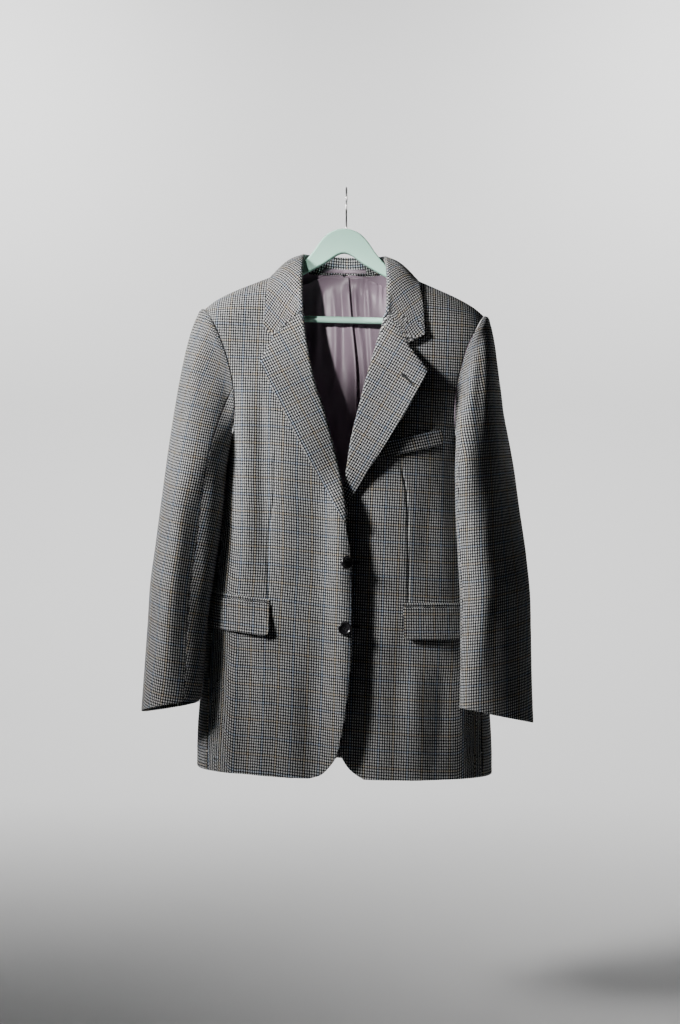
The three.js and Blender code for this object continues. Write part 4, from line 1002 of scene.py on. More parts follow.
# Where collar and lapel meet: the notch and the collar's tip, as (u, z)
gorge = {right: ((106, -238.5), (122.5, -226.5)), left: ((94, -245.5), (122, -229))}
notchShare = 0.62
gorgeLift = {right: 2.0, left: 5.5}
collar = {"radius": 3.0, "thick": 2.4, "bulge": 6.0, "endsFrom": 0.76, "edgeClear": 0.9, "into": 1.0,
          "stand": 9, "arc": 9, "leaf": 24, "along": 188, "roll": (0.3, 7, 3), "draw": 0.14}


# Height of the gorge seam above the body, at t from the fold to the leaf's edge
def gorgeHeight(side, t):
    return 2 * collar["radius"] - collar["into"] + gorgeLift[side] * t * t


# The gorge from its start by way of the notch to the tip
def gorgeLine(notch, tip, t, startU, startZ):
    first = np.minimum(t / notchShare, 1)
    second = np.maximum((t - notchShare) / (1 - notchShare), 0)
    u = startU + (notch[0] - startU) * first
    z = startZ + (notch[1] - startZ) * first
    return u + (tip[0] - u) * second, z + (tip[1] - z) * second


# Moves points out until they are clear of the body's outer face
def pushOut(points, clear, face):
    u, y, z = points[..., 0], points[..., 1], points[..., 2]
    full = sectionDepth(face, u, z, clear)
    centre = shoulderZ(u) - body["crownRise"]
    over = z - centre
    k = np.minimum(np.hypot(y / full, over / (body["crownRise"] + clear)), 1)
    low = sideY[face] * np.maximum(np.abs(y), full)
    return joined(u, np.where(over <= 0, low, y / k), np.where(over <= 0, z, centre + over / k))


# The collar's section: up the stand, over the fold in a half circle, and down the leaf, which bulges
# up a little; over the last part the leaf's lines go over to the gorge
def collarGrid(place):
    last = len(collarLines["fold"]) - 1
    q = np.abs(place) * last

    def at(key, where):
        return joined(*[readRow(collarLines[key], c, where) for c in range(3)])

    neck, fold, edge = at("neck", q), at("fold", q), at("edge", q)
    step = 0.02
    run = unit(at("fold", np.minimum(q + step, last)) - at("fold", np.maximum(q - step, 0)))
    run[q < step] = (1, 0, 0)
    apex = fold - (neck + edge) / 2
    apex = unit(apex - run * np.sum(apex * run, -1, keepdims=True))
    out = unit(np.cross(run, apex))
    out = np.where(np.sum(out * (edge - neck), -1, keepdims=True) < 0, -out, out)
    radius = collar["radius"]

    def arc(degrees):
        a = math.radians(degrees)
        return fold + apex * radius * (math.cos(a) - 1) + out * radius * math.sin(a)

    lines = [neck + (arc(-90) - neck) * t for t in np.linspace(0, 1, collar["stand"])[:-1]]
    lines += [arc(a) for a in np.linspace(-90, 90, collar["arc"])]
    sideHere = np.where(place < 0, right, left)
    ended = ease((np.abs(place) - collar["endsFrom"]) / (1 - collar["endsFrom"]))
    notch = np.array([gorge[int(s)][0] for s in sideHere]).T
    tip = np.array([gorge[int(s)][1] for s in sideHere]).T
    start = arc(90)
    for t in spaced(collar["leaf"], 0.35)[1:]:
        p = start + (edge - start) * t
        p[:, 2] += collar["bulge"] * math.sin(math.pi * t) * (1 - ended)
        gu, gz = gorgeLine(notch, tip, t, start[:, 0], start[:, 2])
        p[:, 0] += (gu - p[:, 0]) * ended
        p[:, 2] += (gz - p[:, 2]) * ended
        clear = collar["thick"] / 2 + radius + (collar["edgeClear"] - radius) * t
        ahead, behind = pushOut(p, clear, "front"), pushOut(p, clear, "back")
        p = np.where(p[:, 1:2] > 0, behind, ahead)
        # at the gorge it is as high as the lapel's top
        for side in (right, left):
            met = onBody(side, "front", gu, gz, gorgeHeight(side, min(t, notchShare)))
            p = np.where((sideHere == side)[:, None], p + (met - p) * (ended**1.5)[:, None], p)
        lines.append(p)
    grid = np.stack(lines, 1)
    grid[..., 0] *= sideHere[:, None]
    return grid


# The soft swelling beside the outer edge of the collar and the lapels
def leafRoll(near):
    by, middle, wide = collar["roll"]
    return by * bell(near, middle, wide)


# Lays a grid out flat. The start bends it by the difference in length of its two long sides, and
# then each edge and diagonal pulls or pushes its ends towards its true length, many times over
def flattened(grid, fold, rounds):
    down = lengths(grid, 1)
    down = down - down[:, fold:fold + 1]
    leaf = np.linalg.norm(np.diff(grid[:, -1], axis=0), axis=-1)
    base = np.linalg.norm(np.diff(grid[:, fold], axis=0), axis=-1)
    wide = (down[1:, -1] + down[:-1, -1]) / 2
    bend = np.cumsum(np.clip((leaf - base) / wide, -0.05, 0.05))
    middle = len(grid) // 2
    bend -= bend[middle - 1]
    step = base[:, None] * joined(np.cos(bend), np.sin(bend))
    place = np.concatenate([np.zeros((1, 2)), np.cumsum(step, 0)])
    place -= place[middle]
    turn = np.concatenate([bend[:1], (bend[1:] + bend[:-1]) / 2, bend[-1:]])
    flat = place[:, None] + down[..., None] * joined(np.sin(turn), -np.cos(turn))[:, None]
    low, high, every = slice(None, -1), slice(1, None), slice(None)
    links = [((low, every), (high, every)), ((every, low), (every, high)),
             ((low, low), (high, high)), ((low, high), (high, low))]
    true = [np.linalg.norm(grid[b] - grid[a], axis=-1) for a, b in links]
    for _ in range(rounds):
        move = np.zeros_like(flat)
        for (a, b), want in zip(links, true):
            way = flat[b] - flat[a]
            far = np.linalg.norm(way, axis=-1)
            pull = way * ((far - want) / np.maximum(far, 1e-6))[..., None] / 2
            move[a] += pull
            move[b] -= pull
        flat = flat + move / 5
    way = flat[middle + 1, fold] - flat[middle - 1, fold]
    flat = flat - flat[middle, fold]
    return turned(flat, -math.degrees(math.atan2(way[1], way[0])))


def makeCollar():
    place = 2 * spaced(collar["along"], 0.25) - 1
    grid = collarGrid(place)
    # smooth out what the two pushes leave where the leaf crosses the shoulder
    for _ in range(3):
        grid[1:-1] = (grid[:-2] + 2 * grid[1:-1] + grid[2:]) / 4
    normal = gridNormals(grid, (0, 0, 1))
    down = lengths(grid, 1)
    uv = flattened(grid, collar["stand"] + collar["arc"] // 2, 700)
    roll = leafRoll(down[:, -1:] - down)
    return slab("cloth_collar", left, grid, normal, collar["thick"], uv, wool, roll, collar["draw"])


finishCloth(makeCollar(), "collar")

# Rows of each lapel from its lower end: roll line, outer edge and the edge's lift
lapelRows = {
    right: np.array([
        [-4, -512, 2.5, -513, 0], [1, -478, 18.5, -484, 1], [5, -455, 31, -463, 1.5],
        [10, -432, 44, -441, 2], [20, -391.5, 66, -401, 2.5], [31, -350, 88, -360, 3],
        [46, -305, 107, -322, 3.5], [56, -256, 120, -293, 4], [61, -224, 125, -281, 4],
        [63, -200.5, 125.5, -276.5, 2]]),
    left: np.array([
        [-10, -505, -3, -506, 0], [-4, -478, 11, -479, 0.5], [0, -455, 25, -456, 1.5],
        [4, -432, 38, -434, 5], [10, -392, 63, -395, 10], [20, -350, 89, -353, 14],
        [33, -300, 110, -315, 17], [46, -254, 121, -294, 16.5], [56, -221, 124, -287, 12],
        [61, -199, 124, -285, 5.5]]),
}
lapel = {
    "into": 1.0,           # how far the fold's lower half lies in the front's cloth
    "slim": 0.32,          # most radius of the fold, as a share of the lapel's width
    "topRows": 2, "gapRows": 0.4,      # over which the lapel goes over to the gorge
    "topGap": 0.7, "notchGap": 0.7, "meet": (66.9, -199.4), "belly": 2.2,
    "bellyOver": 60, "rollOver": 30,   # widths over which the belly and the edge's roll set in
    "arc": 9, "leaf": 26, "rows": 104,
    "turn": {right: 27.5, left: 29.9},   # of the check, in degrees
}


# A lapel: from the front's free edge over the fold at the roll line, in a half circle, then flat to
# its outer edge, which lifts with the square of the distance; its top follows the gorge
def lapelGrid(side):
    table = lapelRows[side]
    last = len(table) - 1
    edge = [joined(table[:, a], table[:, b]) for a, b in ((0, 1), (2, 3))]
    run = sum(lengths(line) for line in edge) / 2
    row = np.interp(spaced(lapel["rows"], 0.5) * run[-1], run, np.arange(last + 1))
    foldU, foldZ, edgeU, edgeZ, lift = (readRow(table, c, row) for c in range(5))
    wide = np.hypot(edgeU - foldU, edgeZ - foldZ)
    dirU, dirZ = (edgeU - foldU) / wide, (edgeZ - foldZ) / wide
    radius = np.minimum(collar["radius"], wide * lapel["slim"])
    top = ease((row - last + lapel["topRows"]) / lapel["topRows"])
    below = lapel["topGap"] * ease((row - last + lapel["gapRows"]) / lapel["gapRows"])
    # at its top it begins where the collar's leaf does
    meetU = lapel["meet"][0] - foldU[-1] - dirU[-1] * radius[-1]
    meetZ = lapel["meet"][1] - foldZ[-1] - dirZ[-1] * radius[-1]
    notch = gorge[side][0]
    lines, across, places = [], [], []
    for degrees in np.linspace(-90, 90, lapel["arc"]):
        a = math.radians(degrees)
        off = radius * (1 - math.cos(a))
        on = max(0, math.sin(a)) * off / radius * top
        u, z = foldU + dirU * off + meetU * on, foldZ + dirZ * off - below + meetZ * on
        lines.append(onBody(side, "front", u, z, radius * (1 + math.sin(a)) - lapel["into"]))
        across.append(radius * a)
        places.append((u, z))
    startU = foldU + dirU * radius + meetU * top
    startZ = foldZ + dirZ * radius - below + meetZ * top
    for t in spaced(lapel["leaf"], 0.4)[1:]:
        a = radius + (wide - radius) * t
        u, z = foldU + dirU * a, foldZ + dirZ * a
        gu, gz = gorgeLine((notch[0], notch[1] - lapel["notchGap"]), (edgeU, edgeZ), t, startU, startZ)
        u, z = u + (gu - u) * top, z + (gz - z) * top
        belly = lapel["belly"] * math.sin(math.pi * t) * ease(wide / lapel["bellyOver"]) * (1 - top)
        out = 2 * radius - lapel["into"] + lift * t * t + belly
        lines.append(onBody(side, "front", u, z, out))
        across.append(radius * (math.pi / 2 - 1) + a)
        places.append((u, z))
    grid = np.stack(lines, 1)
    flat = np.stack(across, 1)
    # map: the place on the roll line, plus the true distance over the fold, square to it
    lineUv = joined(foldU, foldZ)[:, None]
    uv = lineUv + joined(dirU, dirZ)[:, None] * flat[..., None]
    planar = np.stack([np.stack(p, -1) for p in places], 1)
    planar += joined(dirU, dirZ)[:, None] * (radius * (math.pi / 2 - 1))[:, None, None]
    late = (np.arange(grid.shape[1]) >= lapel["arc"])[None, :, None]
    uv = np.where(late, planar, uv)
    return grid, turned(uv, lapel["turn"][side])


def makeLapel(side):
    grid, uv = lapelGrid(side)
    normal = gridNormals(grid, (0, -1, 0))
    near = lengths(grid, 1)
    near = near[:, -1:] - near
    roll = leafRoll(near) * ease(near[:, :1] / lapel["rollOver"])
    name = "cloth_lapel_" + sideName[side]
    return slab(name, side, grid, normal, collar["thick"], uv, wool, roll, collar["draw"])


for side, name in sideName.items():
    finishCloth(makeLapel(side), "lapel_" + name)
print("collar and lapels made")


pocket = {
    right: {"inner": 111, "top": -640, "rise": 13},
    left: {"inner": 87, "top": -640, "rise": 1},
}
flap = {"length": 150, "depth": 48, "corner": 9, "thick": 2.4, "off": 0.7, "lift": {right: 5.2, left: 4.4}}
# How a flap lifts: power down its depth, how much less in its middle, and a little more at its inner end
flapLift = {"power": 1.6, "ends": 0.25, "inner": 0.12, "innerWide": 16}
flapRoll = (0.35, 6, 3)
jet = {"depth": 5, "thick": 1.2, "off": 0.5, "gap": 1.3}
welt = {"inner": 49, "outer": 146.5, "top": -396.5, "slope": 0.255, "depth": 25, "thick": 2.8, "off": 0.8,
        "puff": 0.5, "shift": (1.3, 2.1)}
pocketDraw = 0.42


# Points at distances round the body from a place on the front, and the outward directions there:
# the outline is followed in short steps of angle and read by its length
def alongBody(side, startU, z, distance):
    steps, lastAngle, frontUntil = 120, -0.5, 0.35
    start = angleAt(startU, z)
    angle = start[..., None] + (lastAngle - start[..., None]) * np.linspace(0, 1, steps)
    level = np.broadcast_to(z[..., None], angle.shape)
    u = sectionAt(level, 1) * np.abs(np.cos(angle)) ** (2 / body["roundness"])
    front, beside = onBody(side, "front", u, level), sidePoint(side, angle, level)
    line = np.where((angle > frontUntil)[..., None], front, beside)
    run = lengths(line, line.ndim - 2)
    k = np.clip((run <= distance[..., None]).sum(-1) - 1, 0, steps - 2)
    low = np.take_along_axis(run, k[..., None], -1)[..., 0]
    high = np.take_along_axis(run, k[..., None] + 1, -1)[..., 0]
    a = np.take_along_axis(line, k[..., None, None], -2)[..., 0, :]
    b = np.take_along_axis(line, (k + 1)[..., None, None], -2)[..., 0, :]
    t = (distance - low) / (high - low)
    way = unit(b - a)
    normal = joined(way[..., 1], -way[..., 0], np.zeros_like(t))
    flip = (normal[..., 1:2] > 0) & (a[..., 1:2] < 0)
    return a + (b - a) * t[..., None], np.where(flip, -normal, normal)


# A strip on the body between an upper and a lower edge, which hold for each place t along it
def strip(side, name, upper, lower, layer, counts, uvTop, lift=0.0):
    length, (rows, columns) = flap["length"], counts
    t, v = spaced(columns, 0.5)[None], spaced(rows, 0.4)[:, None]
    top, bottom = upper(t), lower(t)
    z = top + (bottom - top) * v
    distance = np.broadcast_to(t * length, z.shape)
    points, normal = alongBody(side, pocket[side]["inner"], z, distance)
    ends = flapLift["ends"]
    away = layer["off"] + lift * v ** flapLift["power"] * (1 - ends + ends * np.cos(2 * math.pi * t))
    away = away + flapLift["inner"] * lift * v * bell(t * length, 0, flapLift["innerWide"])
    inner = points + normal * away[..., None]
    near = np.minimum(np.minimum(t, 1 - t) * length, (top - bottom) * (1 - v))
    by, middle, wide = flapRoll
    roll = by * bell(near, middle, wide) * (1 if lift else 0)
    outer = inner + normal * (layer["thick"] + roll)[..., None]
    uv = joined(distance, z - top + uvTop)
    return wall(name, side, outer, inner, uv, (wool,), draw=pocketDraw)


# A flap with round lower corners, and the jet that shows above it
def makePocket(side):
    name, place = sideName[side], pocket[side]

    def line(t, above=0.0):
        return place["top"] + place["rise"] * t + above

    def under(t):
        over = np.maximum(flap["corner"] - np.minimum(t, 1 - t) * flap["length"], 0)
        return line(t) - flap["depth"] + flap["corner"] - np.sqrt(flap["corner"]**2 - over**2)

    def jetEnd(t):
        return line(t, jet["gap"])

    def jetTop(t):
        return line(t, jet["depth"] + jet["gap"])

    cover = strip(side, "cloth_flap_" + name, line, under, flap, (26, 64), 0, flap["lift"][side])
    lip = strip(side, "cloth_jet_" + name, jetTop, jetEnd, jet, (8, 56), 60)
    finishCloth(cover, "flap_" + name)
    finishCloth(lip, "jet_" + name)


# The welt slopes up outwards on the left chest
def weltPlace(s, v):
    u = welt["inner"] + (welt["outer"] - welt["inner"]) * s
    return u, welt["top"] + welt["slope"] * (u - welt["inner"]) - welt["depth"] * v


def makeWelt():
    s, v = spaced(44, 0.5)[None], spaced(18, 0.4)[:, None]
    u, z = weltPlace(s, v)
    u = np.broadcast_to(u, z.shape)
    points, normal = onBody(left, "front", u, z), bodyNormal(left, "front", u, z)
    puff = welt["puff"] * np.sin(math.pi * s) * np.sin(math.pi * v)
    inner = points + normal * welt["off"]
    outer = inner + normal * (welt["thick"] + puff)[..., None]
    slant = math.degrees(math.atan(welt["slope"]))
    uv = turned(joined(u, z), -slant) + np.array(welt["shift"])
    piece = wall("cloth_breastWelt", left, outer, inner, uv, (wool,), draw=pocketDraw)
    finishCloth(piece, "breast_welt")


for side in (right, left):
    makePocket(side)
makeWelt()
print("pockets made")


# A button's profile as (share of its radius, share of its thickness), turned about its axis: a
# rounded back, a raised rim and a dished middle. Holes and spread are their width and their places
button = {
    "front": {"radius": 10.0, "thick": 4.0, "holes": 1.15, "spread": 2.0},
    "sleeve": {"radius": 7.5, "thick": 3.2, "holes": 0.9, "spread": 1.55},
    "profile": [(0.02, 0.0), (0.55, 0.0), (0.80, 0.06), (0.93, 0.2), (1.0, 0.42), (0.995, 0.62),
                (0.955, 0.82), (0.90, 0.95), (0.84, 1.0), (0.78, 0.97), (0.72, 0.86), (0.66, 0.74),
                (0.58, 0.67), (0.45, 0.64), (0.02, 0.62)],
    "sides": 56,
}


# The turn that takes the z axis to a direction
def upright(facing):
    return np.array(Vector((0, 0, 1)).rotation_difference(Vector(facing)).to_matrix())


# A profile of (radius, height) turned about the z axis, with both ends closed
def latheMesh(profile, sides):
    turn = np.linspace(0, 2 * math.pi, sides, endpoint=False)
    r, h = profile[:, 0], profile[:, 1]
    level = np.repeat(h[:, None], sides, 1)
    rings = joined(r[:, None] * np.cos(turn), r[:, None] * np.sin(turn), level)
    faces = [tuple(f) for f in gridFaces(len(r), sides, closed=True)]
    faces += [tuple(range(sides))[::-1], tuple((len(r) - 1) * sides + k for k in range(sides))]
    return rings.reshape(-1, 3), faces


# Cuts a button's four holes out, with plain rods that stand out past both of its faces
def drilled(piece, size, axes, centre):
    sides, past = 12, 2.0
    rods = bpy.data.meshes.new("rods")
    points, faces = [], []
    turn = np.linspace(0, 2 * math.pi, sides, endpoint=False)
    for k in range(4):
        a = math.pi / 4 + k * math.pi / 2
        at = np.array([math.cos(a), math.sin(a)]) * size["spread"]
        ring = at + size["holes"] / 2 * joined(np.cos(turn), np.sin(turn))
        low, high = len(points) * sides, (len(points) + 1) * sides
        for level in (-past, size["thick"] + past):
            points.append(np.column_stack([ring, np.full(sides, level)]))
        faces += [tuple(range(low, high))[::-1], tuple(range(high, high + sides))]
        for j in range(sides):
            after = (j + 1) % sides
            faces.append((low + j, low + after, high + after, high + j))
    flat = np.concatenate(points) @ axes.T + centre
    rods.from_pydata((flat / 1000).tolist(), [], faces)
    tool = bpy.data.objects.new("rods", rods)
    bpy.context.scene.collection.objects.link(tool)
    cut = piece.modifiers.new("holes", "BOOLEAN")
    cut.object, cut.operation, cut.solver = tool, "DIFFERENCE", "EXACT"
    graph = bpy.context.evaluated_depsgraph_get()
    done = bpy.data.meshes.new_from_object(piece.evaluated_get(graph))
    piece.modifiers.clear()
    piece.data = done
    bpy.data.objects.remove(tool)


# Thread: radius and sides; strands are sideways places in a hole; sunk and high are how far below the
# dished face an arch starts and how high it rises; the shank is a coil of a radius and its turns
sewing = {"radius": 0.17, "sides": 6, "strands": (-0.264, 0.0, 0.264), "dish": 0.64, "sunk": 0.5,
          "high": 0.85, "coil": 0.9, "coilThread": 0.19, "coilTurns": 5, "coilTop": 0.1}


# Sewing through a button's holes: two sets of strands, each an arch from hole to hole, and a shank
# wound round below
def sewnThrough(name, size, axes, centre, lift):
    tubes = []
    base = size["thick"] * sewing["dish"] - sewing["sunk"]
    s = np.linspace(0, math.pi, 9)
    run = size["spread"] * math.sin(math.pi / 4)
    for row in (-1, 1):
        for strand in sewing["strands"]:
            sideways = np.full(len(s), row * run + strand)
            arch = joined(-run * np.cos(s), sideways, base + sewing["high"] * np.sin(s))
            tubes.append(tubeMesh(arch, sewing["radius"], sewing["sides"]))
    turns = np.linspace(0, 2 * math.pi * sewing["coilTurns"], 61)
    level = np.linspace(-lift, sewing["coilTop"], len(turns))
    coil = joined(sewing["coil"] * np.cos(turns), sewing["coil"] * np.sin(turns), level)
    tubes.append(tubeMesh(coil, sewing["coilThread"], sewing["sides"]))
    points, faces, start = [], [], 0
    for verts, more in tubes:
        points.append(verts @ axes.T + centre)
        faces += [tuple(start + i for i in f) for f in more]
        start += len(verts)
    addPiece(name, np.concatenate(points) / 1000, faces, darkThread)


# A button on the cloth: point and direction on the garment, in millimetres; it stands off on its
# shank by lift, and roll is its turn
def makeButton(node, kind, side, point, normal, lift, roll):
    size = button[kind]
    at = toWorld(side, point) * 1000
    facing = unit(np.array([normal[0] * side, normal[1], normal[2]]))
    profile = np.array(button["profile"]) * np.array([size["radius"], size["thick"]])
    verts, faces = latheMesh(profile, button["sides"])
    c, s = math.cos(roll), math.sin(roll)
    axes = upright(facing) @ np.array([[c, -s, 0], [s, c, 0], [0, 0, 1]])
    centre = at + facing * lift
    piece = meshObject("horn_" + node, (verts @ axes.T + centre) / 1000, faces, None, (horn,))
    drilled(piece, size, axes, centre)
    piece.data.polygons.foreach_set("use_smooth", np.full(len(piece.data.polygons), True))
    finishPiece(piece, node)
    sewnThrough("sewing_" + node, size, axes, centre, lift + buttonAt["intoCloth"])


# Front buttons: u, z, turn in its plane, and how far it hangs over towards the edge
buttonAt = {
    "front": [(-1, -575, 0.35, 0.42), (0, -672, 1.1, 0.08)],
    "frontLift": (0.7, 5),     # gap to the cloth, and how much more for the lean
    "sleeve": (0.75, 28, 15.5),  # places behind the elbow seam, height of the first, and steps
    "sleeveLift": 0.4, "sleeveTurn": 0.7, "rowHeight": 27, "intoCloth": 0.3,
}


# A sleeve's surface and outward direction at a place round the armhole, at a height above the cuff
def sleeveSurface(side, k, up):
    angle = np.array([armholes[side].angleOf(k)])
    row = np.array([sleeve["lastRow"] - up / buttonAt["rowHeight"]])
    step = 0.02
    point = sleeveBase(side, angle, row)[0]
    across = sleeveBase(side, angle + step, row)[0] - sleeveBase(side, angle - step, row)[0]
    along = sleeveBase(side, angle, row + step)[0] - sleeveBase(side, angle, row - step)[0]
    return point, unit(np.cross(across, along))


for k, (u, z, roll, lean) in enumerate(buttonAt["front"]):
    u, z = np.array([float(u)]), np.array([float(z)])
    normal = unit(bodyNormal(right, "front", u, z)[0] - (lean, 0, 0))
    point, (gap, more) = onBody(right, "front", u, z)[0], buttonAt["frontLift"]
    makeButton(f"button_front_{k + 1}", "front", right, point, normal, gap + more * lean, roll)
behind, first, apart = buttonAt["sleeve"]
for side in (right, left):
    for k in range(3):
        point, normal = sleeveSurface(side, sleeve["elbowSeam"] + behind, first + apart * k)
        makeButton(f"button_sleeve_{sideName[side]}_{k + 1}", "sleeve", side, point, normal,
                   buttonAt["sleeveLift"], buttonAt["sleeveTurn"] * k)
print("buttons made")


# Many stitches as one mesh: each is a six-sided grain, thick in its middle, laid along its own
# direction on the cloth. Points and directions are in world millimetres
stitch = {"sides": 6, "profile": [(-0.42, 0.6), (-0.15, 1.0), (0.15, 1.0), (0.42, 0.6)]}


def stitchMesh(name, centres, ways, normals, long, thick, material, slot="cloth"):
    turn = np.linspace(0, 2 * math.pi, stitch["sides"], endpoint=False)
    profile = np.array(stitch["profile"])
    third = unit(np.cross(ways, normals))
    rings = (centres[:, None, None] + ways[:, None, None] * (profile[:, 0] * long)[None, :, None, None]
             + (third[:, None, None] * np.cos(turn)[None, None, :, None]
                + normals[:, None, None] * np.sin(turn)[None, None, :, None])
             * (profile[:, 1] * thick)[None, :, None, None])
    ends = np.stack([centres - ways * long / 2, centres + ways * long / 2], 1)
    count, ringCount, sides = rings.shape[:3]
    verts = np.concatenate([rings.reshape(count, -1, 3), ends], 1)
    faces = [tuple(f) for f in gridFaces(ringCount, sides, closed=True)[:, ::-1]]
    low, high = ringCount * sides, ringCount * sides + 1
    for k in range(sides):
        faces.append((low, k, (k + 1) % sides))
        faces.append((high, (ringCount - 1) * sides + (k + 1) % sides, (ringCount - 1) * sides + k))
    step = verts.shape[1]
    allFaces = [tuple(n * step + i for i in f) for n in range(count) for f in faces]
    addPiece(name, verts / 1000, allFaces, material)


# Values along a line of points, read at distances
def readAlong(points, values, at):
    run = lengths(points)
    return joined(*[np.interp(at, run, values[:, c]) for c in range(3)])


# Evenly spaced places on a line of points, with the direction along it
def alongLine(points, pitch, trim):
    at = np.arange(trim, lengths(points)[-1] - trim, pitch)
    place = readAlong(points, points, at)
    return place, unit(readAlong(points, points, at + 0.5) - place), at


# Sizes of a buttonhole, in millimetres: fan gives the angles round its eye
hole = {
    "first": 0.6, "pitch": 0.62, "beside": 0.95,      # stitches along the slit
    "eye": 1.9, "eyeBack": 0.4, "eyeRadius": 1.75,    # round end: size, share to its middle, radius
    "fan": (-140, 141, 20), "bar": (-1.2, -0.6, 0, 0.6, 1.2),
    "up": 0.25, "long": 2.0, "thick": 0.34, "frontEnds": (22.0, 1.0),
}


# A worked buttonhole: close stitches that stand across a slit on both sides, a round eye at its outer
# end and a bar at its start
def buttonhole(name, start, end, normal):
    way = unit(end - start)
    across = unit(np.cross(normal, way))
    long = float(np.linalg.norm(end - start))
    at = np.arange(hole["first"], long - hole["eye"], hole["pitch"])
    centres = [start + way * at[:, None] + across * sign * hole["beside"] for sign in (-1, 1)]
    turn = np.radians(np.arange(*hole["fan"]))
    spoke = way * np.cos(turn)[:, None] + across * np.sin(turn)[:, None]
    centres.append(end - way * hole["eye"] * hole["eyeBack"] + spoke * hole["eyeRadius"])
    centres.append(start + across * np.array(hole["bar"])[:, None])
    ways = [np.repeat(across[None], 2 * len(at), 0), spoke, np.repeat(way[None], len(hole["bar"]), 0)]
    centres, ways = np.concatenate(centres), np.concatenate(ways)
    normals = np.repeat(normal[None], len(centres), 0)
    stitchMesh(name, centres + normals * hole["up"], ways, normals, hole["long"], hole["thick"], darkThread)


# World places and directions on a front, a little out from its surface
def bodyWorld(side, u, z, out):
    u, z = np.atleast_1d(np.asarray(u, float)), np.atleast_1d(np.asarray(z, float))
    normal = bodyNormal(side, "front", u, z)
    world = toWorld(side, onBody(side, "front", u, z) + normal * out) * 1000
    return world, unit(normal * np.array([side, 1, 1]))


# The left front's two buttonholes, at the heights of the buttons
for k, (_, z, _, _) in enumerate(buttonAt["front"]):
    ends, normals = bodyWorld(left, hole["frontEnds"], [z, z], 0.05)
    buttonhole(f"buttonhole_front_{k + 1}", ends[0], ends[1], unit(normals.mean(0)))

# The left lapel's buttonhole slants down outwards near its upper edge
lapelWorld, _ = lapelGrid(left)
lapelNormal = gridNormals(lapelWorld, (0, -1, 0))
lapelFace = toWorld(left, lapelWorld + lapelNormal * collar["thick"] / 2) * 1000


# A place on the lapel's face: y is the mean of the eight nearest points, weighted by closeness
def onLapel(face, x, z):
    flat = face[:, lapel["arc"]:].reshape(-1, 3)
    near = np.argsort((flat[:, 0] - x) ** 2 + (flat[:, 2] - z) ** 2)[:8]
    weight = 1 / ((flat[near, 0] - x) ** 2 + (flat[near, 2] - z) ** 2 + 0.5)
    return np.array([x, np.sum(flat[near, 1] * weight) / weight.sum(), z])


holeStart, holeEnd = onLapel(lapelFace, 83.0, -295.5), onLapel(lapelFace, 99.0, -311.0)
sideways = onLapel(lapelFace, 95.0, -297.0)
holeNormal = unit(np.cross(holeEnd - holeStart, sideways - holeStart))
holeNormal = -holeNormal if holeNormal[1] > 0 else holeNormal
buttonhole("buttonhole_lapel", holeStart, holeEnd, holeNormal)


# Fine pick stitches near an edge: each a short grain of dark thread
pick = {"pitch": 5.0, "trim": 3.0, "fromEdge": 4.5, "up": 0.05, "long": 1.3, "thick": 0.20,
        "frontFrom": -862, "frontTo": -530}


def pickStitches(name, points, normals):
    place, ways, at = alongLine(points, pick["pitch"], pick["trim"])
    square = unit(readAlong(points, normals, at))
    stitchMesh(name, place + square * pick["up"], ways, square, pick["long"], pick["thick"], darkThread)


# A line on the lapel's face at a distance from its edge, where the lapel is wide enough
def lapelLine(side, fromEdge):
    grid, _ = lapelGrid(side)
    normal = gridNormals(grid, (0, -1, 0))
    near = lengths(grid, 1)
    near = near[:, -1:] - near
    keep = near[:, 0] > fromEdge + 14
    rows = np.arange(len(grid))[keep]
    column = np.array([np.interp(-fromEdge, -near[r], np.arange(grid.shape[1])) for r in rows])
    low = np.floor(column).astype(int)
    t = (column - low)[:, None]
    face = grid + normal * (collar["thick"] / 2 + 0.1)
    line = face[rows, low] * (1 - t) + face[rows, low + 1] * t
    square = normal[rows, low] * np.array([side, 1, 1])
    return toWorld(side, line) * 1000, unit(square)


for side in (right, left):
    line, square = lapelLine(side, pick["fromEdge"])
    pickStitches("pickStitch_lapel_" + sideName[side], line, square)
    z = np.linspace(pick["frontFrom"], pick["frontTo"], 200)
    first = 0 if side == right else 2
    edge = smoothRead(frontRows[:, first + 1], frontRows[:, first], z)
    line, square = bodyWorld(side, edge + pick["fromEdge"], z, 0.25)
    pickStitches("pickStitch_front_" + sideName[side], line, square)

# Short bars that hold the welt's two ends
tack = {"ends": (0.012, 0.988), "from": 0.10, "to": 0.90, "count": 9, "way": (1.0, 0.0, 0.35),
        "up": 0.1, "long": 1.9, "thick": 0.22}
s = np.repeat(tack["ends"], tack["count"])
u, z = weltPlace(s, np.tile(np.linspace(tack["from"], tack["to"], tack["count"]), 2))
centres, normals = bodyWorld(left, u, z, welt["off"] + welt["thick"] + tack["up"])
ways = np.repeat(unit(np.array([tack["way"]])), len(centres), 0)
stitchMesh("tack_welt", centres, ways, normals, tack["long"], tack["thick"], darkThread)
print("buttonholes and stitches made")


lining = {
    "top": -131.5, "bottom": -872, "fromSeam": 9, "widest": 191, "neckHalf": 66, "belowNeck": 200,
    "neckTop": -155, "neckEnd": -265, "underShoulder": 26, "thick": 0.8, "rows": 210, "across": 86,
    "pleatTop": 7, "pleatEnd": 19, "pleatFrom": -300, "pleatOver": 170, "pleatDeep": 13, "layer": 2.3,
    "inside": -5.1, "setBack": 1.0, "turn": 0.6, "gather": 0.56,
    "stand": (6, 7, -170, 150),   # of the pleat's edge: at its top, how much more, from what height, over
    "standWide": 9, "foldDepth": 2.3, "foldMost": 1.6,
}
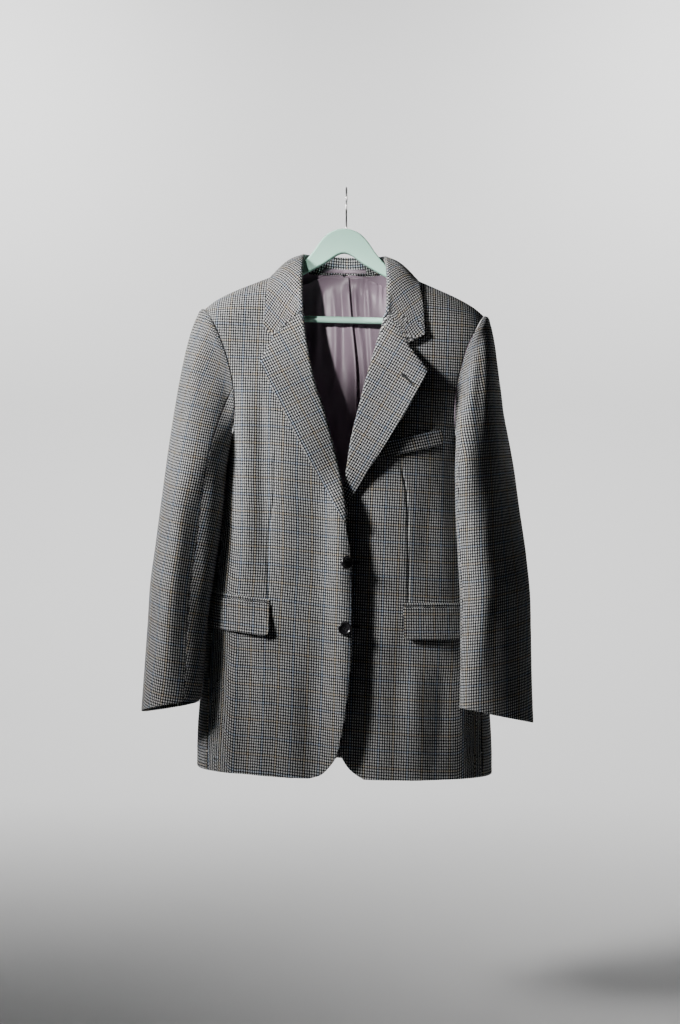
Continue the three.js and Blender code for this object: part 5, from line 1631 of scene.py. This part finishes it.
# Folds of the satin: from and to as (x, z), half width, depth into the jacket, bend
liningFolds = [
    (-44, -132, -50, -330, 6, 1.6, 3), (-30, -134, -34, -290, 4.5, -1.3, -3),
    (-20, -132, -14, -360, 5, 1.7, 4), (-6, -134, -2, -300, 4, -1.1, 2),
    (-56, -150, -84, -420, 9, 2.0, -6), (-72, -230, -60, -520, 10, -1.8, 6),
    (-30, -300, -40, -600, 9, 1.8, 5), (-8, -320, -20, -640, 8, -1.6, -5),
    (16, -132, 26, -250, 3.5, 1.8, -2), (25, -133, 40, -300, 4.5, -1.5, 4),
    (38, -134, 48, -330, 5, 1.7, -4), (22, -200, 34, -420, 6, 1.6, 5), (52, -160, 72, -420, 8, -1.6, 5),
    (44, -300, 60, -560, 9, 1.9, -6), (24, -380, 30, -680, 8, -1.7, 5),
    (90, -300, 100, -600, 11, 1.6, 6), (-110, -320, -104, -620, 11, 1.6, 5),
    (-60, -520, -54, -800, 10, -1.6, -6), (60, -560, 70, -830, 11, 1.6, 6),
    (-16, -620, -12, -850, 9, 1.5, 5), (130, -400, 140, -700, 11, -1.5, -5),
    (-140, -420, -150, -720, 11, -1.5, 5)]


# How far to the side the pleat's edge lies at a height
def liningEdge(z):
    share = ease((z - lining["pleatFrom"]) / lining["pleatOver"])
    return lining["pleatEnd"] + (lining["pleatTop"] - lining["pleatEnd"]) * share


# The lining's x marks across at each height, and the layer of the pleat that each lies in: two layers
# over the left of it, a turn, back under, a turn and on
def liningMarks(z):
    x = liningEdge(z)[:, None]
    narrow = ease((z - lining["neckEnd"]) / (lining["neckTop"] - lining["neckEnd"]))
    seam = smoothRead(backRows[:14, 3], backRows[:14, 2], z) - lining["fromSeam"]
    below, deep, turn, count = lining["belowNeck"], lining["pleatDeep"], lining["turn"], lining["across"]
    half = np.minimum(np.minimum(seam, lining["widest"]), below + (lining["neckHalf"] - below) * narrow)
    half, even = half[:, None], spaced(count, 0.25)[None]
    over = -half + (x - turn + half) * even
    turnA = x + np.array([[-0.15, 0.0, -0.15]])
    back = x - turn - (deep - turn) * np.linspace(0, 1, 8)[None]
    turnB = x - deep + np.array([[-0.15, -0.3, -0.15]])
    on = x - deep + (half - x + deep) * even
    layer = [np.full(count, 2.0), [1.85, 1.5, 1.15], np.full(8, 1.0), [0.85, 0.5, 0.15], np.zeros(count)]
    return np.concatenate([over, turnA, back, turnB, on], 1), np.concatenate(layer)[None]


def makeLining():
    top = lining["bottom"] + (lining["top"] - lining["bottom"]) * spaced(lining["rows"], 0.4)
    x, layer = liningMarks(top)
    z = np.minimum(top[:, None], shoulderZ(x) - lining["underShoulder"])
    base = [depth(side, "back", np.abs(x), z, lining["inside"]) for side in (right, left)]
    base = np.where(x < 0, base[0], base[1])
    near = ease((lining["top"] + 1 - z) / 30)
    # small gathers below the neck, where the lining lies in one layer
    gather = lining["gather"] * np.sin(x * 0.62 + 1.2 * np.sin(x * 0.21)) * (layer < 0.5)
    gather = gather * ease((z + 190) / 45) * (1 - ease((z + 136) / 5))
    sides = ease((np.abs(x[:, :1]) - np.abs(x)) / 10 + 0.3)
    into = -lining["foldDepth"] * creaseRelief(liningFolds, x, z) * near * sides
    # the pleat's edge stands out more the lower it is, and the cloth beside it sinks back
    edge = x - liningEdge(z)
    least, more, start, length = lining["stand"]
    stand = (least + more * ease((start - z) / length)) * bell(np.maximum(-edge, 0), 0, lining["standWide"])
    into -= stand * ease((1.4 - edge) / 0.8) * ease(layer - 0.5) * near
    y = base - layer * lining["layer"] + np.minimum(into, lining["foldMost"]) + gather - lining["setBack"]
    grid = joined(x, y, z)
    normal = gridNormals(grid, (0, -1, 0))
    uv = joined(lengths(grid, 1), z)
    piece = slab("satin_lining", left, grid, normal, lining["thick"], uv, satin)
    finishCloth(piece, "lining_back")


strap = {"half": 34, "bottom": -124.5, "high": 6, "thick": 0.7, "inside": 2.3, "bulge": 0.5,
         "stitches": (3.4, 1.0), "below": 1.3, "stitchLong": 2.3, "stitchThick": 0.35}


# The strip inside the collar stand; it bulges a little, in waves
def strapGrid(columns, rows):
    x = strap["half"] * (2 * spaced(columns, 0.4) - 1)[None]
    v = spaced(rows, 0.4)[:, None]
    neckY = smoothRead(np.arange(9), collarLines["neck"][:, 1], np.abs(x) / 31)
    y = neckY - strap["inside"] - strap["bulge"] * np.sin(math.pi * v) * (1 + 0.3 * np.sin(x * 0.5))
    return np.stack(np.broadcast_arrays(x, y, strap["bottom"] + strap["high"] * v), -1)


def makeStrap():
    grid = strapGrid(90, 14)
    normal = gridNormals(grid, (0, -1, 0))
    uv = joined(lengths(grid, 1), grid[..., 2])
    piece = slab("satin_hangingStrip", left, grid, normal, strap["thick"], uv, satin)
    finishCloth(piece, "hanging_loop")
    line = grid[0] + normal[0] * (strap["thick"] / 2 + 0.1)
    line = toWorld(left, line + np.array([0, 0, -strap["below"]])) * 1000
    place, ways, _ = alongLine(line, *strap["stitches"])
    square = np.repeat(unit(normal[0].mean(0))[None], len(place), 0)
    size = strap["stitchLong"], strap["stitchThick"]
    stitchMesh("stitch_hangingStrip", place, ways, square, *size, stripThread, "lining")


makeLining()
makeStrap()
print("lining made")


board = {"thick": 13.0, "top": -62, "under": 1.9, "edge": 2.6, "points": 420}
bar = {"radius": 5.0, "z": -203, "half": 181}
# The hook's stem as a share of its points, start and end of its circle, and how far it stands in the board
hook = {"wire": 1.4, "radius": 20.0, "stem": 0.34, "bow": -0.18, "tip": 1.06, "points": 150, "foot": 0.3}


# The board's outline from its half, mirrored, as one smooth closed line read by its length
def boardOutline():
    head = [(0, board["top"]), (14, -64.5), (25, -70), (36, -81), (48, -98), (62, -115)]
    arm = [(u, float(shoulderZ(np.array(float(u)))) - body["cloth"] - board["under"])
           for u in (77, 104, 140, 172, 186, 194)]
    lobe = [(198, -190), (199, -200), (196, -209), (190, -213), (184, -211), (182, -203)]
    lower = [(180, -192), (172, -185.5), (140, -170), (104, -153.5), (66, -136), (34, -118.5), (0, -100)]
    half = np.array(head + arm + lobe + lower, float)
    loop = np.concatenate([half, half[1:-1][::-1] * (-1, 1)])
    ring = np.concatenate([loop[-3:], loop, loop[:4]])
    run = lengths(ring)
    at = run[3] + (run[3 + len(loop)] - run[3]) * np.arange(board["points"]) / board["points"]
    return joined(*[smoothRead(run, ring[:, c], at) for c in range(2)])


# The board's edge is a quarter circle front and back; its faces are flat, drawn in by that radius
def makeBoard():
    line = boardOutline()
    way = unit(np.roll(line, -2, 0) - np.roll(line, 2, 0))
    inward = joined(way[:, 1], -way[:, 0])
    r, half = board["edge"], board["thick"] / 2
    turn = np.radians([0, 18, 36, 54, 72, 90])
    # distances inwards, and back from the middle plane
    profile = [(r * (1 - math.sin(a)), half - r * (1 - math.cos(a))) for a in turn]
    sections = profile + [(d, -y) for d, y in profile[::-1]]
    rings = [np.column_stack([line + inward * d, np.full(len(line), -y)]) for d, y in sections]
    points = np.concatenate(rings)[:, [0, 2, 1]]
    count = len(line)
    faces = [tuple(f) for f in gridFaces(len(sections), count, closed=True)]
    faces += [tuple(range(count))[::-1], tuple((len(sections) - 1) * count + k for k in range(count))]
    piece = addPiece("paint_board", toWorld(left, points), faces, paint, "hanger_board")
    for face in piece.data.polygons[-2:]:
        face.use_smooth = False


def makeBar():
    x = np.linspace(-bar["half"] + bar["radius"], bar["half"] - bar["radius"], 60)
    line = joined(x, np.zeros_like(x), np.full_like(x, float(bar["z"])))
    verts, faces = tubeMesh(toWorld(left, line) * 1000, bar["radius"], 32)
    addPiece("paint_bar", verts / 1000, faces, paint, "hanger_bar")


# The hook stands in the plane x = 0: a stem that bows back, then a circle to just past half way
def makeHook():
    middle = hook["radius"] + hook["wire"]
    t = np.linspace(0, 1, hook["points"])
    s = np.clip(t / hook["stem"], 0, 1)
    lowest = -hook["radius"] + middle * math.sin(hook["bow"])
    foot = board["top"] + hook["foot"]
    stemY, stemZ = middle * math.cos(hook["bow"]) * ease(s), foot + (lowest - foot) * s
    angle = hook["bow"] + (math.pi * hook["tip"] - hook["bow"]) * (t - hook["stem"]) / (1 - hook["stem"])
    onStem = t < hook["stem"]
    y = np.where(onStem, stemY, middle * np.cos(angle))
    z = np.where(onStem, stemZ, middle * np.sin(angle) - hook["radius"])
    verts, faces = tubeMesh(joined(np.zeros_like(y), y, z), hook["wire"], 20)
    addPiece("wire_hook", verts / 1000, faces, wire, "hanger_hook")


makeBoard()
makeBar()
makeHook()
print("hanger made")


stage = {"floor": -1.32, "reach": 5.0, "front": (-4.5, -2.0, 0.0), "back": 3.2, "rise": 3.4, "curve": 1.2}


# The floor runs back, turns up in a quarter circle and goes on as a backdrop
def makeFloor():
    a = np.linspace(0, math.pi / 2, 24)
    turn = stage["back"] - stage["curve"]
    y = np.concatenate([stage["front"], turn + stage["curve"] * np.sin(a), [stage["back"]]])
    z = np.concatenate([[0, 0, 0], stage["curve"] * (1 - np.cos(a)), [stage["rise"]]]) + stage["floor"]
    x = np.linspace(-stage["reach"], stage["reach"], 9)
    grid = np.stack(np.broadcast_arrays(x[None], y[:, None], z[:, None]), -1)
    t = Tree("paleFloor")
    place = t.place()
    colour = t.mix(t.noise(place, 0.8, 2.0), (0.70, 0.70, 0.70), (0.74, 0.74, 0.735))
    t.surface({"Base Color": colour, "Roughness": 0.9, "Specular IOR Level": 0.15})
    floor = meshObject("floor", grid, gridFaces(len(y), len(x)), None, (t.material,))


# Name, kind, place, aim, size, power, colour and beam in degrees. The neck light is a narrow beam
# through the neck opening, on the hanger and the lining; only the backdrop gets the last two
lights = [
    ("key", "AREA", (-2.20, -1.20, 0.80), (-0.02, -0.05, -0.24), 0.70, 9.3, (1.0, 0.99, 0.985), 38),
    ("neck", "SPOT", (-0.79, -2.38, -0.06), (0.010, 0.04, -0.20), 0.05, 290, (1.0, 0.985, 0.97), 5.7),
    ("soft", "AREA", (-1.0, -2.8, 0.5), (0.0, 0.0, -0.48), 1.8, 0.6, (0.94, 0.97, 1.0), 180),
    ("backdrop", "AREA", (-1.7, 1.5, 1.9), (-1.02, 3.2, 0.0), 1.2, 70, (1.0, 1.0, 1.0), 120),
    ("backdrop", "AREA", (1.7, 1.5, 1.9), (1.02, 3.2, 0.0), 1.2, 70, (1.0, 1.0, 1.0), 120)]

makeFloor()
for name, kind, place, aim, size, power, colour, beam in lights:
    data = bpy.data.lights.new(name, kind)
    data.energy, data.color = power, colour
    if kind == "SPOT":
        data.shadow_soft_size, data.spot_blend, data.spot_size = size, 1.0, math.radians(beam)
    else:
        data.shape, data.size, data.spread = "DISK", size, math.radians(beam)
    light = bpy.data.objects.new(name, data)
    light.location = place
    light.rotation_euler = (Vector(aim) - Vector(place)).to_track_quat("-Z", "Y").to_euler()
    bpy.context.scene.collection.objects.link(light)

world = bpy.data.worlds.new("studio")
world.use_nodes = True
sky = world.node_tree.nodes["Background"]
sky.inputs["Color"].default_value = (0.80, 0.83, 0.86, 1.0)
sky.inputs["Strength"].default_value = 0.02
bpy.context.scene.world = world

camera = {"place": (-0.0099, -2.4, -0.50065), "perPixel": 0.00155, "high": 1024, "sensor": 36.0}
lens = bpy.data.cameras.new("photoCamera")
lens.sensor_width = camera["sensor"]
lens.lens = camera["sensor"] * -camera["place"][1] / (camera["high"] * camera["perPixel"])
lens.clip_end = 60
viewer = bpy.data.objects.new("photoCamera", lens)
viewer.location = camera["place"]
viewer.rotation_euler = (math.radians(90), 0, 0)
bpy.context.scene.collection.objects.link(viewer)
bpy.context.scene.camera = viewer
print("light and camera set")
